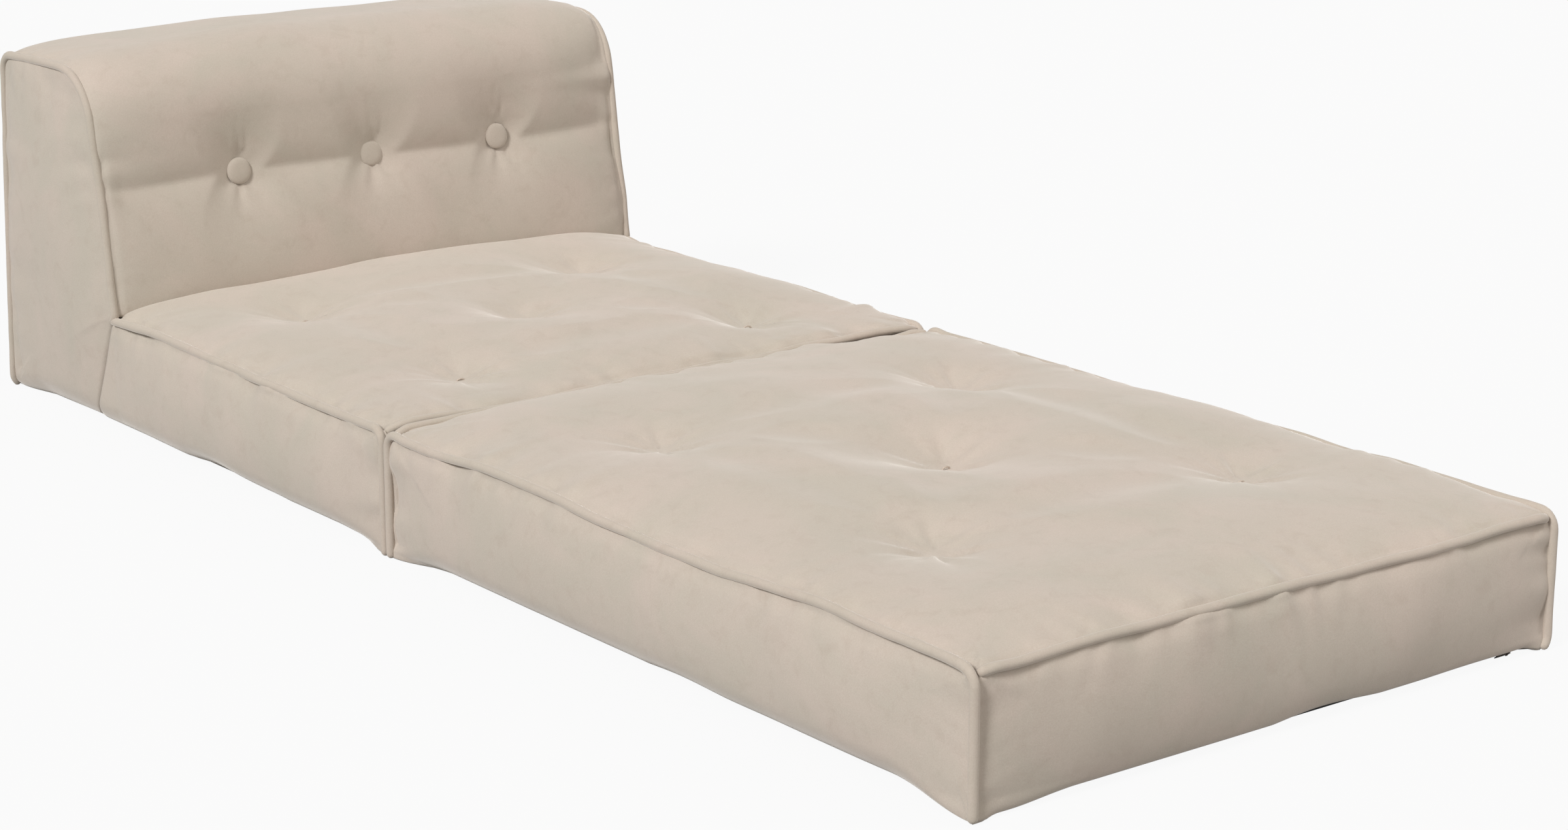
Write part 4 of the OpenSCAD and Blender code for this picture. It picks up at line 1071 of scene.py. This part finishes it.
def new_group(name, inputs, outputs):
    """An empty node group with its named sockets; a Vector is one, and all others are numbers."""
    group = bpy.data.node_groups.new(name, "ShaderNodeTree")
    for way, labels in (("INPUT", inputs), ("OUTPUT", outputs)):
        for label in labels:
            kind = "NodeSocketVector" if label == "Vector" else "NodeSocketFloat"
            group.interface.new_socket(name=label, in_out=way, socket_type=kind)
    return group, group.nodes.new("NodeGroupInput"), group.nodes.new("NodeGroupOutput")


def pile_group():
    """Pile of a brushed fabric: three noises, for broad clouds, small blotches and fine grain."""
    group, start, end = new_group("pile_grain", ["Vector"], ["Clouds", "Blotches", "Grain"])
    for output, scale, detail, rough, warp in (("Clouds", 5.5, 5, 0.62, 0.9), ("Blotches", 42, 4, 0.65, 0.6),
                                               ("Grain", 620, 2, 0.7, 0.0)):
        noise = group.nodes.new("ShaderNodeTexNoise")
        settle(noise, {"Scale": scale, "Detail": detail, "Roughness": rough, "Distortion": warp})
        group.links.new(start.outputs["Vector"], noise.inputs["Vector"])
        group.links.new(noise.outputs[0], end.inputs[output])
    return group


def weave_group():
    """A plain weave: the product of two crossed waves."""
    group, start, end = new_group("plain_weave", ["Vector", "Scale"], ["Threads"])
    both = group.nodes.new("ShaderNodeMath")
    both.operation = "MULTIPLY"
    for direction, socket in zip(("X", "DIAGONAL"), both.inputs):
        wave = group.nodes.new("ShaderNodeTexWave")
        wave.bands_direction = direction
        settle(wave, {"Distortion": 0.6})
        group.links.new(start.outputs["Vector"], wave.inputs["Vector"])
        group.links.new(start.outputs["Scale"], wave.inputs["Scale"])
        group.links.new(wave.outputs["Fac"], socket)
    group.links.new(both.outputs[0], end.inputs["Threads"])
    return group


def mottle_group():
    """Slight unevenness of a rigid or waxed surface: one noise."""
    group, start, end = new_group("fine_mottle", ["Vector", "Scale"], ["Mottle"])
    noise = group.nodes.new("ShaderNodeTexNoise")
    settle(noise, {"Detail": 3})
    group.links.new(start.outputs["Vector"], noise.inputs["Vector"])
    group.links.new(start.outputs["Scale"], noise.inputs["Scale"])
    group.links.new(noise.outputs[0], end.inputs["Mottle"])
    return group


PILE, WEAVE, MOTTLE = pile_group(), weave_group(), mottle_group()


def add_group(tree, group, values=None):
    """A group in a material's tree, fed by the piece's Object coordinates."""
    where = tree.nodes.new("ShaderNodeTexCoord")
    node = tree.nodes.new("ShaderNodeGroup")
    node.node_tree = group
    tree.links.new(where.outputs["Object"], node.inputs["Vector"])
    settle(node, values or {})
    return node


def mixed(tree, share, low, high):
    """A colour between two, each a link or a fixed colour."""
    node = tree.nodes.new("ShaderNodeMix")
    node.data_type = "RGBA"
    tree.links.new(share, node.inputs[0])
    for socket, value in ((node.inputs[6], low), (node.inputs[7], high)):
        if hasattr(value, "links"):
            tree.links.new(value, socket)
        else:
            socket.default_value = value
    return node.outputs[2]


def mapped(tree, value, low, high, to_low=0.0, to_high=1.0):
    """A value's range from low to high, spread over another range and held there."""
    node = tree.nodes.new("ShaderNodeMapRange")
    tree.links.new(value, node.inputs[0])
    for socket, number in zip(node.inputs[1:5], (low, high, to_low, to_high)):
        socket.default_value = number
    return node.outputs[0]


def raise_by(tree, shader, value, strength, distance):
    """A bump of the surface by a value."""
    height = tree.nodes.new("ShaderNodeBump")
    settle(height, {"Strength": strength, "Distance": distance})
    tree.links.new(value, height.inputs["Height"])
    tree.links.new(height.outputs[0], shader.inputs["Normal"])


def shade(colour, factor):
    """A colour times a factor, held at 1."""
    return tuple(min(1, c * factor) for c in colour[:3]) + (1,)


LAID_PILE = (0.370, 0.298, 0.240, 1)


def brushed_fabric(name, warm, cool, bump):
    """Beige microsuede: pinkish and greyish clouds, darker blotches where the pile lies over."""
    made, tree, shader = new_material(name)
    pile = add_group(tree, PILE)
    base = mixed(tree, mapped(tree, pile.outputs["Clouds"], 0.36, 0.64), cool, warm)
    base = mixed(tree, mapped(tree, pile.outputs["Blotches"], 0.52, 0.80, 0.0, 0.30), base, LAID_PILE)
    base = mixed(tree, mapped(tree, pile.outputs["Grain"], 0.35, 0.70, 0.24, 0.0), base, LAID_PILE)
    tree.links.new(base, shader.inputs["Base Color"])
    settle(shader, {"Roughness": 0.92, "Specular IOR Level": 0.18, "Sheen Weight": 0.55,
                    "Sheen Roughness": 0.45, "Sheen Tint": (1.0, 0.97, 0.93, 1)})
    raise_by(tree, shader, pile.outputs["Grain"], bump, 0.0008)
    return made


def plain(name, colour, roughness, metallic=0.0, scale=300.0):
    """A rigid or waxed finish with slight unevenness of its tone, roughness and surface."""
    tone_spread, rough_spread = 0.12, 0.06
    made, tree, shader = new_material(name)
    mottle = add_group(tree, MOTTLE, {"Scale": scale}).outputs["Mottle"]
    tone = mixed(tree, mapped(tree, mottle, 0.35, 0.65), shade(colour, 1 - tone_spread),
                 shade(colour, 1 + tone_spread))
    tree.links.new(tone, shader.inputs["Base Color"])
    uneven = mapped(tree, mottle, 0.3, 0.7, roughness - rough_spread, roughness + rough_spread)
    tree.links.new(uneven, shader.inputs["Roughness"])
    settle(shader, {"Metallic": metallic})
    raise_by(tree, shader, mottle, 0.3, 0.0002)
    return made


def woven(name, colour, pitch):
    """A woven cloth, its threads' pitch in metres: dark between the threads and lighter on them."""
    between, on_thread, full_turn = 0.5, 1.6, 6.28
    made, tree, shader = new_material(name)
    threads = add_group(tree, WEAVE, {"Scale": 1 / (pitch * full_turn)}).outputs["Threads"]
    tone = mixed(tree, threads, shade(colour, between), shade(colour, on_thread))
    tree.links.new(tone, shader.inputs["Base Color"])
    settle(shader, {"Roughness": 0.85})
    raise_by(tree, shader, threads, 0.4, 0.0003)
    return made


cover_fabric = brushed_fabric("cover_fabric", (0.545, 0.474, 0.414, 1), (0.492, 0.452, 0.386, 1), 0.25)
cord_fabric = brushed_fabric("cord_fabric", (0.525, 0.455, 0.394, 1), (0.482, 0.440, 0.372, 1), 0.2)
button_fabric = brushed_fabric("button_fabric", (0.515, 0.447, 0.388, 1), (0.475, 0.434, 0.368, 1), 0.2)
twine = plain("waxed_twine", (0.50, 0.425, 0.355, 1), 0.75, scale=1500.0)
tape_weave = woven("zip_tape_weave", (0.035, 0.035, 0.038, 1), 0.0009)
base_weave = woven("base_cloth_weave", (0.028, 0.028, 0.03, 1), 0.0012)
hinge_weave = woven("hinge_cloth_weave", (0.06, 0.055, 0.05, 1), 0.0011)
nylon = plain("coil_nylon", (0.03, 0.03, 0.032, 1), 0.42)
bronze = plain("zip_metal", (0.23, 0.20, 0.18, 1), 0.38, 1.0, 180.0)
dark_plastic = plain("washer_plastic", (0.05, 0.05, 0.055, 1), 0.5)
tin = plain("button_tin", (0.55, 0.54, 0.52, 1), 0.35, 1.0, 120.0)


# Which body each piece rides on, and which solids it stands for

def dress(obj, material, body, nodes):
    """Gives a piece its finish and its body, and lets it stand for its solids."""
    obj.data.materials.append(material)
    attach(obj, body)
    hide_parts(*nodes)


def cover_nodes(section, *panels):
    """The solids that a cushion stands for: its foam, its wadding and its cover's panels."""
    return [f"{section}_foam_core", f"{section}_wadding"] + [f"{section}_{panel}_panel" for panel in panels]


for obj, body, nodes in (
        (foot_cushion, "foot_section", cover_nodes("foot", "top", "left", "right", "front", "rear")),
        (seat_cushion, "seat_unit", cover_nodes("seat", "top", "left", "right", "front")),
        (backrest_cushion, "seat_unit", cover_nodes("backrest", "front", "left", "right", "rear"))):
    dress(obj, cover_fabric, body, nodes)
for obj, body, nodes in cords:
    dress(obj, cord_fabric, body, nodes)
for obj, material, body, node in (
        (covered_buttons, button_fabric, "seat_unit", "button_caps"),
        (foot_stitches, twine, "foot_section", "foot_tuft_twines"),
        (seat_stitches, twine, "seat_unit", "seat_tuft_twines"),
        (foot_tapes, tape_weave, "foot_section", "foot_zip_tapes"),
        (back_tapes, tape_weave, "seat_unit", "back_zip_tapes"),
        (foot_base, base_weave, "foot_section", "foot_base_panel"),
        (seat_base, base_weave, "seat_unit", "seat_base_panel")):
    dress(obj, material, body, [node])
hinge_cloth.data.materials.append(hinge_weave)
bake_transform(hinge_cloth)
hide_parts("hinge_strip")
for node, material in {
        "foot_tuft_washers": dark_plastic, "seat_tuft_washers": dark_plastic, "button_washers": dark_plastic,
        "button_plates": tin, "button_twines": twine, "foot_zip_coils": nylon, "back_zip_coils": nylon,
        "foot_zip_stops": bronze, "back_zip_stops": bronze, "foot_zip_slider": bronze,
        "back_zip_slider": bronze, "foot_zip_pull": bronze, "back_zip_pull": bronze}.items():
    mesh = frame["nodes"][node].data
    mesh.materials.clear()
    mesh.materials.append(material)


# Floor and light

FLOOR_REACH = 9000
FLOOR_GREY, FLOOR_GLOW = (0.38, 0.38, 0.38, 1), 0.93
WORLD_COLOUR, WORLD_STRENGTH = (1.0, 0.945, 0.89, 1), 0.42


def mix_shaders(tree, share, first, second):
    """One shader, or another by a share."""
    node = tree.nodes.new("ShaderNodeMixShader")
    for value, socket in zip((share, first, second), node.inputs):
        tree.links.new(value, socket)
    return node.outputs[0]


def floor_paint():
    """Nearly white to the camera, a grey that takes the shadow, and clear from below."""
    made = bpy.data.materials.new("floor_paint")
    made.use_nodes = True
    tree = made.node_tree
    tree.nodes.clear()
    grey = tree.nodes.new("ShaderNodeBsdfDiffuse")
    settle(grey, {"Color": FLOOR_GREY})
    glow = tree.nodes.new("ShaderNodeEmission")
    clear = tree.nodes.new("ShaderNodeBsdfTransparent")
    ray = tree.nodes.new("ShaderNodeLightPath")
    seen = tree.nodes.new("ShaderNodeMath")
    seen.operation = "MULTIPLY"
    seen.inputs[1].default_value = FLOOR_GLOW
    tree.links.new(ray.outputs["Is Camera Ray"], seen.inputs[0])
    upper = mix_shaders(tree, seen.outputs[0], grey.outputs[0], glow.outputs[0])
    under = tree.nodes.new("ShaderNodeNewGeometry").outputs["Backfacing"]
    both = mix_shaders(tree, under, upper, clear.outputs[0])
    tree.links.new(both, tree.nodes.new("ShaderNodeOutputMaterial").inputs[0])
    return made


def lay_floor():
    """A wide square that rides on the foot section, so that it never hides a section folded below it."""
    corners = np.array([(-1, -1, 0), (1, -1, 0), (1, 1, 0), (-1, 1, 0)]) * FLOOR_REACH
    floor = make_mesh("floor", corners, [(0, 1, 2, 3)])
    floor.data.materials.append(floor_paint())
    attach(floor, "foot_section")


def light_world():
    """White to the camera, to reflections and through glass, and a plain warm light on the bed."""
    world = bpy.data.worlds.new("studio")
    scene.world = world
    world.use_nodes = True
    tree = world.node_tree
    tree.nodes.clear()
    ray = tree.nodes.new("ShaderNodeLightPath")
    white = tree.nodes.new("ShaderNodeBackground")
    soft_light = tree.nodes.new("ShaderNodeBackground")
    settle(soft_light, {"Color": WORLD_COLOUR, "Strength": WORLD_STRENGTH})
    white_to = ray.outputs["Is Camera Ray"]
    for kind in ("Is Glossy Ray", "Is Transmission Ray"):
        either = tree.nodes.new("ShaderNodeMath")
        either.operation = "MAXIMUM"
        tree.links.new(white_to, either.inputs[0])
        tree.links.new(ray.outputs[kind], either.inputs[1])
        white_to = either.outputs[0]
    both = mix_shaders(tree, white_to, soft_light.outputs[0], white.outputs[0])
    tree.links.new(both, tree.nodes.new("ShaderNodeOutputWorld").inputs[0])


def sun(name, towards, strength, spread, colour=(1, 1, 1)):
    """A distant lamp in the given direction from the bed, its spread in degrees."""
    lamp = bpy.data.lights.new(name, "SUN")
    lamp.energy = strength
    lamp.angle = math.radians(spread)
    lamp.color = colour
    obj = bpy.data.objects.new(name, lamp)
    obj.rotation_euler = Vector(towards).to_track_quat("Z", "Y").to_euler()
    scene.collection.objects.link(obj)


lay_floor()
light_world()
sun("key", (-0.77, -0.20, 0.60), 2.7, 14.0)
sun("fill", (0.56, -0.62, 0.55), 0.90, 45.0, (1.0, 0.95, 0.90))
